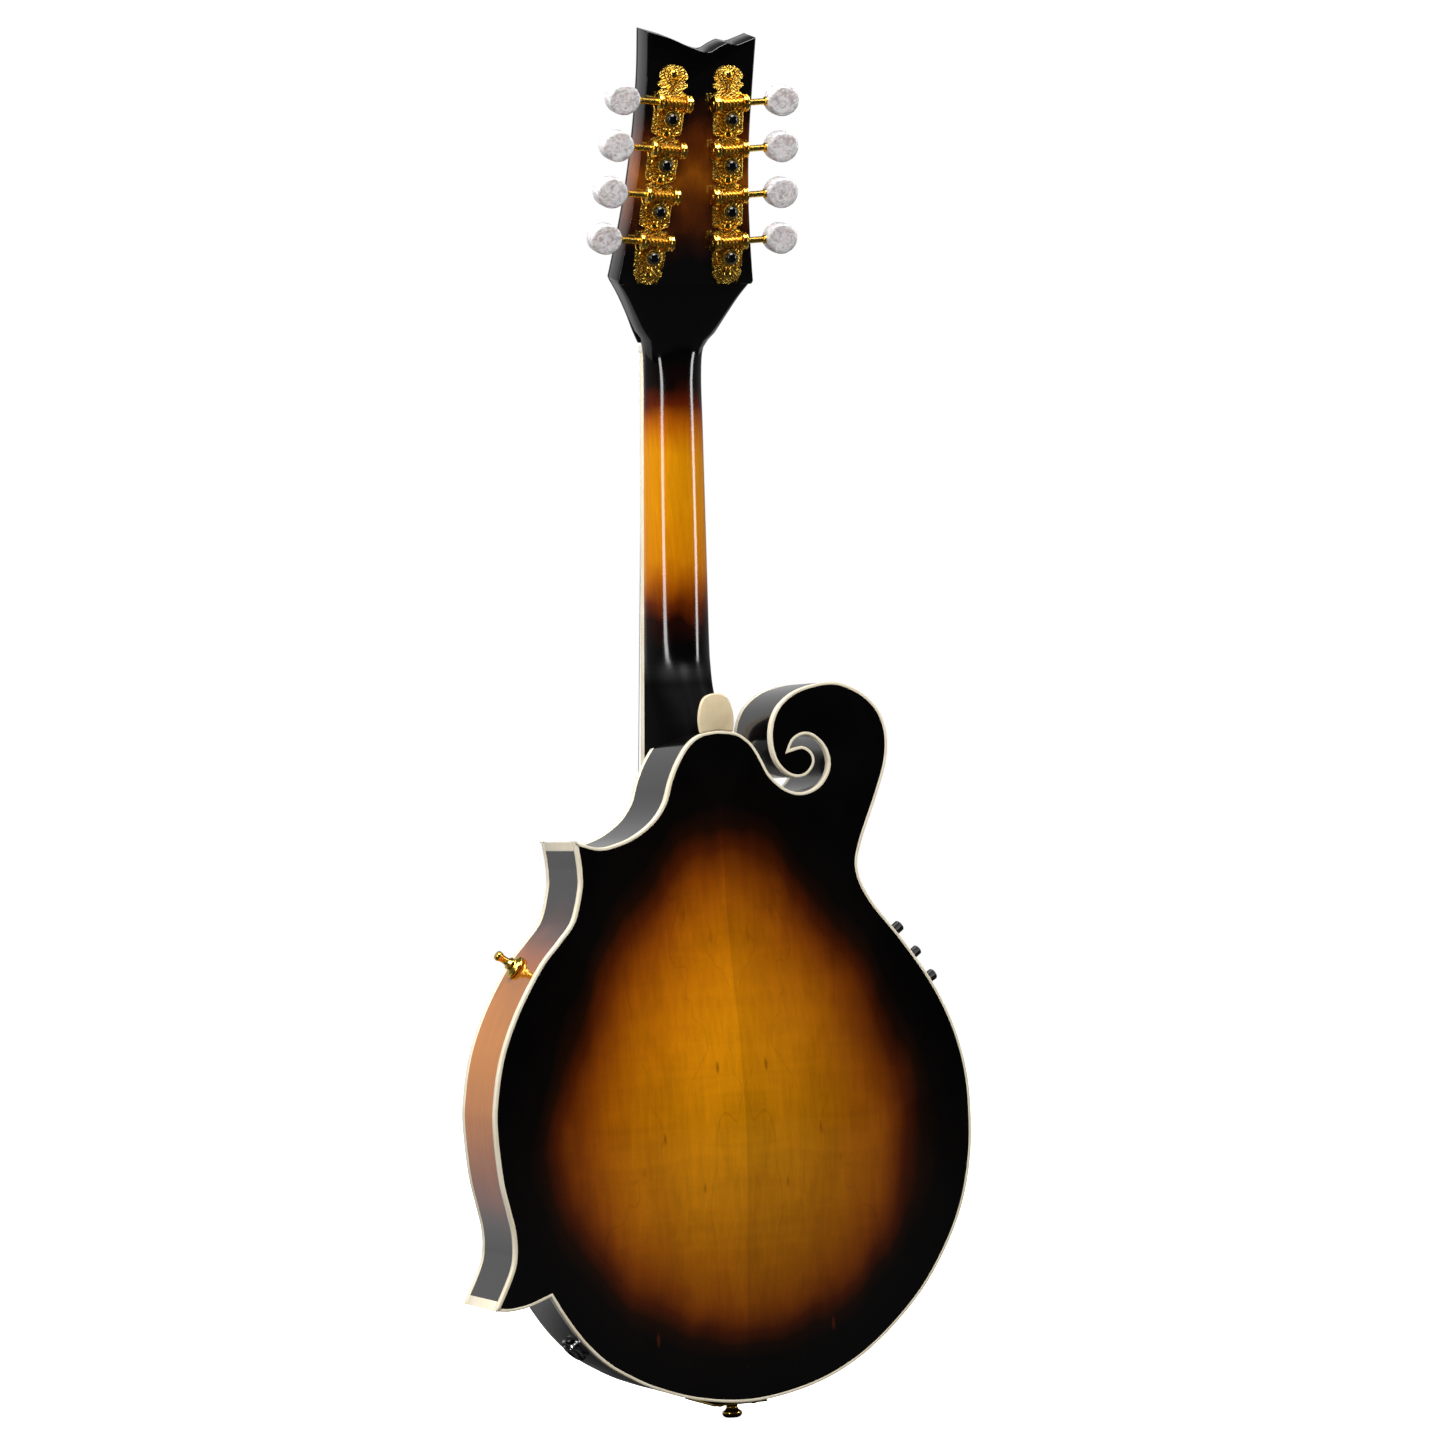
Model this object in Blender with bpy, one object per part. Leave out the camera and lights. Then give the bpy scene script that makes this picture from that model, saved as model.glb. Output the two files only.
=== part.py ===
"""An F-style mandolin, modelled as an assembly of separate pieces.

World frame, in metres: +Z runs up the instrument to the headstock, -Y is the side with the strings,
+Y the arched back, +X the side with the two points and -X the side with the scroll. The origin is on
the neck's centre line at the nut. Every dimension below is in millimetres.
"""
import math

import bmesh
import bpy
from mathutils import Matrix, Vector

MM = 0.001

# Driving dimensions
ORIGIN_DEPTH = 13.0        # the origin lies this far behind the plane of the front edge
SCALE_LENGTH = 350.0
NUT_WIDTH = 30.0
NECK_TILT = 4.84           # degrees that the neck leans back from the body
HEAD_TILT = 12.45          # degrees more that the headstock leans back
NUT_DEPTH = 5.6            # the fingerboard surface at the nut, behind the front edge
RIM_DEPTH = 46.5           # the body's depth at its edge, over both bindings
GAP = 0.3                  # kept between pieces that touch

PLATE_THICKNESS = 4.0
PLATE_ARCH = 12.0
ARCH_CENTRE_Z = -385.0
ARCH_HALF_WIDTH = 118.0
ARCH_HALF_LENGTH = 132.0
PLATE_GRID = 15            # the squares that carry a plate's arch
RIB_THICKNESS = 2.2
BINDING_WIDTH = 1.5
POINT_CAP_LENGTH = 5.5

TAIL_Z = -524.7            # the tailpiece's seat, just below the body's tail
COVER_FRONT = -437.0
COVER_TAIL = -522.0
BUTTON_Y = 23.25           # the end button's and the jack's height in the rib

KNOB_Y = 33.0
JACK_BARREL = 5.4
JACK_BORE = 3.25
JACK_OUT = Vector((0.70, 0, -0.714)).normalized()
JACK_PLACE = Vector((82.0, BUTTON_Y, -492.4))

FRET_COUNT = 22
BOARD_END = -257.0
BOARD_THICKNESS = 5.0
BOARD_TAPER = 0.0147       # growth of the half width for each millimetre below the nut
BOARD_BINDING = 1.2

HEAD_FRONT = 4.8           # the head's wood, behind the fingerboard surface
HEAD_BACK = 18.0
OVERLAY_THICKNESS = 1.5

TUNER_PITCH = 23.1
TUNER_TOP = 122.0          # the top post, above the nut
TUNER_TOP_HALF = 16.0      # its distance from the centre line
TUNER_SLANT = 0.0696       # how fast the two rows spread towards the nut
POST_RADIUS = 3.0
POST_FRONT = -8.5
GEAR_TEETH = 16
GEAR_PITCH_RADIUS = 4.85
GEAR_TIP_RADIUS = 5.1
GEAR_ROOT_RADIUS = 4.35
GEAR_DEPTH = 22.5          # the middle of the gears, behind the fingerboard surface
GEAR_THICKNESS = 2.4
WORM_DISTANCE = 7.7        # from a post's axis up to its worm's axis
WORM_CREST_RADIUS = 3.0
WORM_ROOT_RADIUS = 2.3
WORM_LEAD = 2.0 * math.pi * GEAR_PITCH_RADIUS / GEAR_TEETH
WORM_TURNS = 4.0
SHAFT_RADIUS = 1.6
LUG_BORE = 1.95
BUTTON_REACH = 27.0

BRIDGE_Z = -SCALE_LENGTH
STRING_BRIDGE_Y = -28.4
STUD_X = 36.0

# The body's outline, seen from the front as (x, z). Each run is one smooth curve between two corners.
SHOULDER = [(0, -191.6), (9, -193), (16, -197.6), (22, -205.8), (26.6, -215.4), (30.2, -225.8),
            (36.4, -234.2), (46, -241), (55.4, -244.7), (66, -246.3), (78.5, -242.7)]
TREBLE_SIDE = [(78.5, -242.7), (77.2, -251.7), (76.7, -259.2), (77.2, -266.6), (81.5, -281.3),
               (89.5, -291.2), (99.6, -302.6), (112.8, -324.1), (121.9, -345.8), (126.4, -367.7),
               (127.1, -382.5), (125.4, -404.8), (122.4, -420), (120.2, -431), (120.1, -441.5),
               (122.4, -450.8), (131.2, -468)]
POINT_UNDERSIDE = [(131.2, -468), (124.6, -468.7), (119, -468.3), (112.8, -467.1), (102.2, -463.4)]
LOWER_BOUT = [(102.2, -463.4), (97, -472.4), (91.2, -481.2), (84.4, -489.8), (75.4, -498.6),
              (65.4, -505.4), (50, -513.4), (27, -521), (0, -524.3), (-27, -521), (-50.4, -513.3),
              (-72.2, -500.3), (-95, -479.8), (-110.8, -458.2), (-121.4, -436.6), (-127.2, -414.2),
              (-129, -391.6), (-127.8, -368.8), (-121.9, -345.6), (-110.8, -322.4), (-94.9, -299.5),
              (-79.2, -279.6), (-72.9, -264.8), (-75, -251.6), (-84.4, -229.4), (-90.4, -213.8),
              (-92.4, -203), (-91.8, -193.4), (-88, -184.2), (-80, -176.2), (-69, -170.8),
              (-60.5, -169.8), (-52.2, -170.9), (-44.3, -173.2), (-38, -176.8), (-33.2, -181.4),
              (-30.2, -186.8), (-28.7, -192.4), (-28.4, -198.2), (-29.3, -204.2), (-31.4, -209.3),
              (-34.6, -213.2), (-38.4, -215.8), (-42.6, -216.8), (-46.8, -216), (-50.2, -213.2),
              (-52, -209.6), (-51.6, -205.8), (-49.2, -202.9), (-45.4, -201.2), (-38.6, -202.6)]
SCROLL_SLOT = [(-38.6, -202.6), (-40.4, -199), (-43.2, -196.7), (-47, -195.6), (-51, -196.4),
               (-54.8, -199.3), (-57.9, -203.6), (-59.3, -208.8), (-58.6, -214), (-55.8, -218.8),
               (-51.7, -222.2), (-46.8, -224), (-41.8, -224.2), (-37.2, -222.8), (-32.9, -220.2),
               (-29.2, -216.8), (-26.1, -212.8), (-23.4, -207.4), (-20.4, -201.9), (-16.8, -197.4),
               (-10, -193), (0, -191.6)]

# The headstock's outline in its own plane, as (x, height above the nut).
HEAD_SIDE = [(36.5, 39.8), (35.2, 48), (32.8, 65), (30.4, 86), (28.7, 112), (28.4, 140), (29.6, 164)]
HEAD_TOP = [(29.6, 164), (17.5, 161), (7.5, 157.2), (-3, 154.2), (-8.5, 156.8), (-13.2, 158.9),
            (-17.6, 158), (-22, 159.4), (-28.4, 162)]
HEAD_FLARE = [(18, 6), (21.5, 12.5), (25.5, 21), (31, 31), (36.5, 39.8)]


def smooth_run(points, step):
    """A Catmull-Rom curve through the points, as points about one step apart, without its last point."""
    ahead = [points[0]] + points + [points[-1]]
    run = []
    for before, start, end, after in zip(ahead, ahead[1:], ahead[2:], ahead[3:]):
        before, start, end, after = Vector(before), Vector(start), Vector(end), Vector(after)
        pieces = max(1, round((end - start).length / step))
        for piece in range(pieces):
            t = piece / pieces
            run.append(0.5 * (2 * start + (end - before) * t
                              + (2 * before - 5 * start + 4 * end - after) * t * t
                              + (3 * start - before - 3 * end + after) * t * t * t))
    return run


def thin_straight(points, tolerance):
    """Drop each point that lies within the tolerance of the line between its neighbours."""
    kept = [points[0]]
    for index in range(1, len(points) - 1):
        chord = points[index + 1] - kept[-1]
        offset = points[index] - kept[-1]
        distance = abs(chord.x * offset.y - chord.y * offset.x) / max(chord.length, 1e-6)
        if distance > tolerance or offset.length > 14.0:
            kept.append(points[index])
    kept.append(points[-1])
    return kept


def body_outline(cut_points=False):
    """The body's edge as one closed loop of (x, z); the two points are cut off where caps cover them."""
    runs = [smooth_run(run, 5.0) + [Vector(run[-1])]
            for run in (SHOULDER, TREBLE_SIDE, POINT_UNDERSIDE, LOWER_BOUT, SCROLL_SLOT)]
    runs = [thin_straight(run, 0.3) for run in runs]
    if cut_points:
        for before, after in ((0, 1), (1, 2)):
            corner = runs[before][-1]
            runs[before] = shorten(runs[before][::-1], POINT_CAP_LENGTH)[::-1]
            runs[after] = shorten(runs[after], POINT_CAP_LENGTH)
            assert (runs[before][-1] - corner).length < 2 * POINT_CAP_LENGTH
    loop = []
    for run in runs:
        loop.extend(run if cut_points and run in (runs[0], runs[1]) else run[:-1])
    return loop


def shorten(run, length):
    """Take a length off the start of a run."""
    left = length
    for index in range(len(run) - 1):
        step = (run[index + 1] - run[index]).length
        if step > left:
            return [run[index].lerp(run[index + 1], left / step)] + run[index + 1:]
        left -= step
    return run[-1:]


def point_cap_outline(before, after):
    """The triangle that the cap covers at a corner, drawn in by the gap along its inner side."""
    first = smooth_run(before, 5.0) + [Vector(before[-1])]
    second = smooth_run(after, 5.0) + [Vector(after[-1])]
    start = shorten(first[::-1], POINT_CAP_LENGTH)[0]
    end = shorten(second, POINT_CAP_LENGTH)[0]
    corner = first[-1]
    inward = ((start + end) / 2 - corner).normalized()
    return [corner, end - inward * 1.6 * GAP, start - inward * 1.6 * GAP]


def inset(loop, distance):
    """The closed loop moved in to the right of its direction by a distance, with mitred corners."""
    moved = []
    count = len(loop)
    for index in range(count):
        here = loop[index]
        back = (here - loop[index - 1]).normalized()
        ahead = (loop[(index + 1) % count] - here).normalized()
        normal_back = Vector((back.y, -back.x))
        normal_ahead = Vector((ahead.y, -ahead.x))
        bisector = (normal_back + normal_ahead).normalized()
        stretch = min(1.0 / max(bisector.dot(normal_back), 0.3), 2.2)
        moved.append(here + bisector * distance * stretch)
    return moved


def arch_height(x, z):
    """How far a plate's arch stands above its edge at a place."""
    radius = math.hypot(x / ARCH_HALF_WIDTH, (z - ARCH_CENTRE_Z) / ARCH_HALF_LENGTH)
    if radius >= 1.0:
        return 0.0
    return PLATE_ARCH * (0.5 + 0.5 * math.cos(math.pi * radius))


def head_outline(low, step=16.0):
    """The headstock's edge from a height above the nut, as a loop of (x, height)."""
    treble = [point for point in HEAD_FLARE[:-1] if point[1] >= low] + HEAD_SIDE
    bass = [(-x, height) for x, height in reversed(treble[:-1])]
    bass = [(-28.4, 162)] + bass
    flare = len(treble) - len(HEAD_SIDE)
    loop = []
    for run in (treble[:flare + 1], HEAD_SIDE, HEAD_TOP, bass[:-flare] if flare else bass, bass[-flare - 1:]):
        if len(run) > 1:
            loop.extend(smooth_run(run, step))
    loop.append(Vector(bass[-1]))
    clean = [loop[0]]
    for point in loop[1:]:
        if (point - clean[-1]).length > 0.5:
            clean.append(point)
    return clean


def material(name, colour, roughness, metallic=0.0):
    """A plain Principled material, made once for each name."""
    made = bpy.data.materials.get(name)
    if made is None:
        made = bpy.data.materials.new(name)
        made.use_nodes = True
        shader = made.node_tree.nodes["Principled BSDF"]
        shader.inputs["Base Color"].default_value = (*colour, 1.0)
        shader.inputs["Roughness"].default_value = roughness
        shader.inputs["Metallic"].default_value = metallic
        made.diffuse_color = (*colour, 1.0)
    return made


def finishes():
    """Every finish on the instrument, by name."""
    return {
        "back": material("sunburst_maple", (0.42, 0.20, 0.03), 0.12),
        "top": material("sunburst_spruce", (0.45, 0.22, 0.04), 0.14),
        "rib": material("rib_maple", (0.32, 0.13, 0.03), 0.14),
        "neck": material("neck_maple", (0.30, 0.13, 0.02), 0.12),
        "inside": material("bare_spruce", (0.62, 0.47, 0.29), 0.7),
        "binding": material("cream_binding", (0.80, 0.74, 0.60), 0.3),
        "ebony": material("dark_rosewood", (0.035, 0.022, 0.016), 0.45),
        "black": material("black_lacquer", (0.01, 0.01, 0.01), 0.1),
        "bone": material("white_nut", (0.82, 0.80, 0.74), 0.4),
        "gold": material("gold_plate", (0.95, 0.66, 0.20), 0.18, 1.0),
        "tuner": material("gold_tuner", (0.95, 0.62, 0.16), 0.22, 1.0),
        "steel": material("steel", (0.55, 0.55, 0.56), 0.3, 1.0),
        "chrome": material("chrome", (0.75, 0.75, 0.77), 0.08, 1.0),
        "bronze": material("string_metal", (0.72, 0.62, 0.48), 0.3, 1.0),
        "plastic": material("black_plastic", (0.02, 0.02, 0.02), 0.35),
        "brass": material("brass_disc", (0.75, 0.58, 0.25), 0.35, 1.0),
    }


def new_object(name, bm, finish, parent=None, location=(0, 0, 0), rotation=(0, 0, 0)):
    """Turn a bmesh in millimetres into an object in metres."""
    bmesh.ops.recalc_face_normals(bm, faces=bm.faces)
    if bm.calc_volume(signed=True) < 0:
        bmesh.ops.reverse_faces(bm, faces=bm.faces)
    bmesh.ops.scale(bm, vec=(MM, MM, MM), verts=bm.verts)
    mesh = bpy.data.meshes.new(name)
    bm.to_mesh(mesh)
    bm.free()
    mesh.shade_smooth()
    mesh.set_sharp_from_angle(angle=math.radians(35))
    made = bpy.data.objects.new(name, mesh)
    bpy.context.scene.collection.objects.link(made)
    if finish is not None:
        mesh.materials.append(finish)
    made.parent = parent
    made.location = Vector(location) * MM
    made.rotation_euler = rotation
    return made


def datum(name, parent=None, location=(0, 0, 0), rotation=(0, 0, 0)):
    """An empty that carries the pieces of one plane of the instrument."""
    made = bpy.data.objects.new(name, None)
    bpy.context.scene.collection.objects.link(made)
    made.empty_display_size = 0.02
    made.parent = parent
    made.location = Vector(location) * MM
    made.rotation_euler = rotation
    return made


def prism(loop, near, far, axis="Y"):
    """A closed loop swept between two depths along an axis."""
    places = {"Y": lambda p: (p[0], near, p[1]), "X": lambda p: (near, p[0], p[1]),
              "Z": lambda p: (p[0], p[1], near)}
    travel = {"Y": (0, far - near, 0), "X": (far - near, 0, 0), "Z": (0, 0, far - near)}
    bm = bmesh.new()
    face = bm.faces.new([bm.verts.new(places[axis](point)) for point in loop])
    swept = bmesh.ops.extrude_face_region(bm, geom=[face])
    far_verts = [item for item in swept["geom"] if isinstance(item, bmesh.types.BMVert)]
    bmesh.ops.translate(bm, vec=travel[axis], verts=far_verts)
    return bm


def hoop(outer, inner, near, far):
    """A band between two loops of equal length, swept along Y."""
    bm = bmesh.new()
    rings = [[bm.verts.new((p[0], depth, p[1])) for p in loop]
             for loop, depth in ((outer, near), (outer, far), (inner, far), (inner, near))]
    count = len(outer)
    for ring, following in zip(rings, rings[1:] + rings[:1]):
        for index in range(count):
            ahead = (index + 1) % count
            bm.faces.new((ring[index], ring[ahead], following[ahead], following[index]))
    return bm


def turned(profile, segments, axis="Z"):
    """A solid of revolution from (radius, distance along the axis) points."""
    bm = bmesh.new()
    rows = []
    for radius, along in profile:
        row = []
        for step in range(segments if radius > 0 else 1):
            angle = 2 * math.pi * step / segments
            row.append(bm.verts.new((radius * math.cos(angle), radius * math.sin(angle), along)))
        rows.append(row)
    for lower, upper in zip(rows, rows[1:]):
        for step in range(segments):
            ahead = (step + 1) % segments
            corners = [lower[step % len(lower)], lower[ahead % len(lower)],
                       upper[ahead % len(upper)], upper[step % len(upper)]]
            distinct = list(dict.fromkeys(corners))
            bm.faces.new(distinct)
    for row in (rows[0], rows[-1]):
        if len(row) > 1:
            bm.faces.new(row)
    turn = {"Z": Matrix.Identity(3), "Y": Matrix.Rotation(math.radians(-90), 3, "X"),
            "X": Matrix.Rotation(math.radians(90), 3, "Y")}[axis]
    bmesh.ops.rotate(bm, cent=(0, 0, 0), matrix=turn, verts=bm.verts)
    return bm


def box(low, high):
    """A block between two corners."""
    bm = bmesh.new()
    bmesh.ops.create_cube(bm, size=1.0)
    centre = (Vector(low) + Vector(high)) / 2
    size = Vector(high) - Vector(low)
    bmesh.ops.scale(bm, vec=size, verts=bm.verts)
    bmesh.ops.translate(bm, vec=centre, verts=bm.verts)
    return bm


def merged(*parts):
    """Several bmeshes as one, still as separate bodies."""
    whole = bmesh.new()
    for part in parts:
        mesh = bpy.data.meshes.new("merged_part")
        part.to_mesh(mesh)
        part.free()
        whole.from_mesh(mesh)
        bpy.data.meshes.remove(mesh)
    return whole


def combine(target, operation, name, bm):
    """Cut a bmesh from an object, or join it on, with a guide that stays hidden."""
    guide = new_object(name, bm, None, parent=target)
    guide.hide_render = True
    guide.display_type = "WIRE"
    modifier = target.modifiers.new(name, "BOOLEAN")
    modifier.operation = operation
    modifier.solver = "EXACT"
    modifier.object = guide
    return guide


def moved(bm, vec):
    """The same bmesh, shifted."""
    bmesh.ops.translate(bm, vec=vec, verts=bm.verts)
    return bm


def aimed(bm, direction, place):
    """A bmesh built along +Z, turned to a direction and put in its place."""
    turn = Vector((0, 0, 1)).rotation_difference(Vector(direction)).to_matrix()
    bmesh.ops.rotate(bm, cent=(0, 0, 0), matrix=turn, verts=bm.verts)
    return moved(bm, place)


def arched_plate(name, finish, body, front):
    """The back or the top: a sheet cut to the outline and pressed into an arch."""
    bm = bmesh.new()
    loop = inset(body_outline(), BINDING_WIDTH + GAP)
    bm.faces.new([bm.verts.new((p.x, 0, p.y)) for p in loop])
    cuts = [("X", x) for x in range(-7 * PLATE_GRID, 8 * PLATE_GRID, PLATE_GRID)]
    cuts += [("Z", z) for z in range(-505, -260, PLATE_GRID)]
    for axis, place in cuts:
        point = (place, 0, 0) if axis == "X" else (0, 0, place)
        normal = (1, 0, 0) if axis == "X" else (0, 0, 1)
        near = [f for f in bm.faces if axis == "Z" or f.calc_center_median().z < -240.0]
        edges = {e for f in near for e in f.edges}
        verts = {v for f in near for v in f.verts}
        bmesh.ops.bisect_plane(bm, geom=list(near) + list(edges) + list(verts), plane_co=point,
                               plane_no=normal, dist=0.02)
    swept = bmesh.ops.extrude_face_region(bm, geom=list(bm.faces))
    inner = [v for v in swept["geom"] if isinstance(v, bmesh.types.BMVert)]
    bmesh.ops.translate(bm, vec=(0, PLATE_THICKNESS, 0), verts=inner)
    for vertex in bm.verts:
        arch = arch_height(vertex.co.x, vertex.co.z)
        if front:
            vertex.co.y -= arch
        else:
            vertex.co.y += RIM_DEPTH - PLATE_THICKNESS + arch
    return new_object(name, bm, finish, parent=body)


def f_hole(side):
    """The outline of one f-shaped sound hole, as (x, z)."""
    spine = [(52, -311), (57, -318), (55, -330), (56.5, -345), (62, -360), (66, -373), (62, -384), (54, -388)]
    widths = [5.5, 2.2, 3.2, 4.6, 4.6, 3.2, 2.2, 5.5]
    left, right = [], []
    for index, (x, z) in enumerate(spine):
        before = Vector(spine[max(index - 1, 0)])
        after = Vector(spine[min(index + 1, len(spine) - 1)])
        along = (after - before).normalized()
        across = Vector((along.y, -along.x)) * widths[index] / 2
        left.append(Vector((x, z)) + across)
        right.append(Vector((x, z)) - across)
    return [Vector((side * p.x, p.y)) for p in left + right[::-1]]


def make_body(body, finish):
    """The plates, ribs, bindings, point caps and the blocks inside."""
    arched_plate("back_plate", finish["back"], body, front=False)
    top = arched_plate("top_plate", finish["top"], body, front=True)
    combine(top, "DIFFERENCE", "f_hole_cutter",
            merged(*[prism(f_hole(side), -20.0, 10.0) for side in (1, -1)]))

    outline = body_outline()
    for name, near in (("top_binding", 0.0), ("back_binding", RIM_DEPTH - PLATE_THICKNESS)):
        new_object(name, hoop(outline, inset(outline, BINDING_WIDTH), near, near + PLATE_THICKNESS),
                   finish["binding"], parent=body)

    near = PLATE_THICKNESS + GAP
    far = RIM_DEPTH - PLATE_THICKNESS - GAP
    cut = body_outline(cut_points=True)
    ribs = new_object("rib_band", hoop(cut, inset(cut, RIB_THICKNESS), near, far), finish["rib"], parent=body)
    new_object("upper_point_cap", prism(point_cap_outline(SHOULDER, TREBLE_SIDE), near, far),
               finish["binding"], parent=body)
    new_object("lower_point_cap", prism(point_cap_outline(TREBLE_SIDE, POINT_UNDERSIDE), near, far),
               finish["binding"], parent=body)
    combine(ribs, "DIFFERENCE", "rib_holes", merged(
        aimed(turned([(3.4, -8), (3.4, 8)], 12), (0, 0, 1), (0, BUTTON_Y, -523)),
        aimed(turned([(JACK_BARREL + GAP, -8), (JACK_BARREL + GAP, 8)], 16), JACK_OUT, JACK_PLACE)))

    block_near = near + GAP
    block_far = far - GAP
    new_object("neck_block", prism(
        [(-11, -196.4), (11, -197), (18, -205), (23, -216.5), (26.4, -227), (28, -238), (-28, -238),
         (-26, -222), (-21.6, -214), (-18, -206)], block_near, block_far), finish["inside"], parent=body)
    tail = new_object("tail_block", prism(
        [(-28, -516.6), (-14, -520), (0, -521.2), (14, -520), (28, -516.6), (28, -506), (-28, -506)],
        block_near, block_far), finish["inside"], parent=body)
    combine(tail, "DIFFERENCE", "button_bore",
            moved(turned([(3.4, -20), (3.4, 20)], 12), (0, BUTTON_Y, -515)))

    for name, x in (("tone_bar_bass", -34), ("tone_bar_treble", 34)):
        stations = [-300 - 18 * step for step in range(9)]
        loop = [(PLATE_THICKNESS + 1.1 - arch_height(x, z), z) for z in stations]
        loop += [(PLATE_THICKNESS + 8 - arch_height(x, z), z) for z in reversed(stations[1:-1])]
        new_object(name, moved(prism(loop, -3.0, 3.0, "X"), (x, 0, 0)), finish["inside"], parent=body)


def neck_section(half_width, depth, near, square, back_half=0.0, count=9):
    """One D-shaped section of the neck, as (x, y) from the treble side round the back."""
    points = []
    for step in range(count):
        angle = math.pi * step / (count - 1)
        turn = 0.0 if 2 * step == count - 1 else math.cos(angle)
        side = math.copysign(abs(turn) ** square, turn)
        fall = math.sin(angle) ** square
        width = half_width * (1 - fall ** 2) + (back_half or half_width) * fall ** 2
        points.append((side * width, near + depth * fall))
    return points


def board_half(z):
    """Half the fingerboard's width at a place below the nut."""
    return NUT_WIDTH / 2 - BOARD_TAPER * z


def loft(sections):
    """Join rings of points into a closed solid."""
    bm = bmesh.new()
    rings = [[bm.verts.new(point) for point in section] for section in sections]
    count = len(rings[0])
    for ring, following in zip(rings, rings[1:]):
        for index in range(count):
            ahead = (index + 1) % count
            bm.faces.new((ring[index], ring[ahead], following[ahead], following[index]))
    bm.faces.new(rings[0])
    bm.faces.new(rings[-1])
    return bm


def make_neck(body, neck, head, finish):
    """The neck with its heel and headstock in one piece of wood, and what is glued to it."""
    near = BOARD_THICKNESS + GAP
    shaft = [(-250, 5.6, 0.9, 0), (-215, 36.5, 0.42, 9.5), (-191, 35.5, 0.42, 9.5), (-182, 33.2, 0.44, 8.6),
             (-174, 28.5, 0.5, 7.6), (-167, 22.5, 0.62, 7), (-158, 18.2, 0.8, 7), (-146, 16.4, 0.95, 0),
             (-100, 15.6, 1, 0), (-40, 14.6, 1, 0), (-12, 14.2, 1, 0)]
    sections = []
    for z, depth, square, back_half in shaft:
        half = board_half(z)
        sections.append([(x, y, z) for x, y in neck_section(half, depth, near, square, back_half)])
    lean = Matrix.Rotation(math.radians(-HEAD_TILT), 3, "X")
    for height, half, square in ((5, 16.2, 0.85), (12.5, 21.0, 0.6), (21, 25.3, 0.42), (31, 30.8, 0.28),
                                 (38, 35.2, 0.18), (46, 35.2, 0.16)):
        sunk = 0.25 if height > 40 else 0.0
        section = neck_section(half - 4 * sunk, HEAD_BACK - HEAD_FRONT - 2 * sunk, HEAD_FRONT + sunk, square)
        sections.append([tuple(lean @ Vector((x, y, height))) for x, y in section])
    wood = new_object("neck", loft(sections), finish["neck"], parent=neck)
    headstock = combine(wood, "UNION", "headstock_core", prism(head_outline(38.0), HEAD_FRONT, HEAD_BACK))
    headstock.rotation_euler = (math.radians(-HEAD_TILT), 0, 0)

    outline = inset(body_outline(), -GAP)
    pocket = combine(wood, "DIFFERENCE", "body_cutter", prism(outline, -GAP, 90.0))
    pocket.rotation_euler = (math.radians(NECK_TILT), 0, 0)
    pocket.location = Vector((0, -NUT_DEPTH * math.cos(math.radians(NECK_TILT)),
                              NUT_DEPTH * math.sin(math.radians(NECK_TILT)))) * MM
    combine(wood, "DIFFERENCE", "truss_rod_channel", box((-3.0, near - 2, -178), (3.0, near + 9, -2)))
    heel_trim = combine(wood, "DIFFERENCE", "heel_cap_seat",
                        box((-40, RIM_DEPTH - 3.0 - GAP, -215), (40, 90, -150)))
    heel_trim.rotation_euler = pocket.rotation_euler
    heel_trim.location = pocket.location
    bores = combine(wood, "DIFFERENCE", "post_bores", post_bores(HEAD_FRONT - 2, HEAD_BACK + 2))
    bores.rotation_euler = headstock.rotation_euler

    overlay = new_object("headstock_overlay",
                         prism(head_outline(6.0), HEAD_FRONT - GAP - OVERLAY_THICKNESS, HEAD_FRONT - GAP),
                         finish["black"], parent=head)
    combine(overlay, "DIFFERENCE", "overlay_bores", post_bores(-2, HEAD_FRONT + 2))
    cover = [(-6, 9), (6, 9), (7.5, 14), (6.5, 22), (3.5, 29), (0, 33), (-3.5, 29), (-6.5, 22), (-7.5, 14)]
    new_object("truss_rod_cover", prism(cover, 1.4, 2.7), finish["plastic"], parent=head)
    new_object("truss_rod", moved(turned([(2.6, 0), (2.6, 160)], 8), (0, near + 4.4, -170)),
               finish["steel"], parent=neck)
    heel = [(8.8, -191.7), (9.6, -185.1), (7.6, -176.7), (3.8, -173.9), (0, -173.3), (-3.8, -173.9),
            (-7.6, -176.7), (-9.6, -185.1), (-8.8, -191.7), (0, -191.0)]
    new_object("heel_cap", prism(heel, RIM_DEPTH - 3.0, RIM_DEPTH), finish["binding"], parent=body)
    make_fingerboard(neck, finish)
    nut = prism([(-1.6, 0.4), (-0.9, 4.2), (4.2, 4.2), (4.2, 0.4)], -NUT_WIDTH / 2, NUT_WIDTH / 2, "X")
    new_object("nut", nut, finish["bone"], parent=neck)


def post_bores(near, far):
    """Eight cylinders along the tuner posts' axes, in the head's plane."""
    bores = []
    for side in (1, -1):
        for index in range(4):
            x, height = post_place(side, index)
            bore = turned([(POST_RADIUS + 0.5, near), (POST_RADIUS + 0.5, far)], 10, "Y")
            bores.append(moved(bore, (x, 0, height)))
    return merged(*bores)


def post_place(side, index):
    """Where a tuner post crosses the head's plane, as (x, height above the nut)."""
    along = TUNER_PITCH * index
    slant = math.atan(TUNER_SLANT)
    return side * (TUNER_TOP_HALF + along * math.sin(slant)), TUNER_TOP - along * math.cos(slant)


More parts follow.
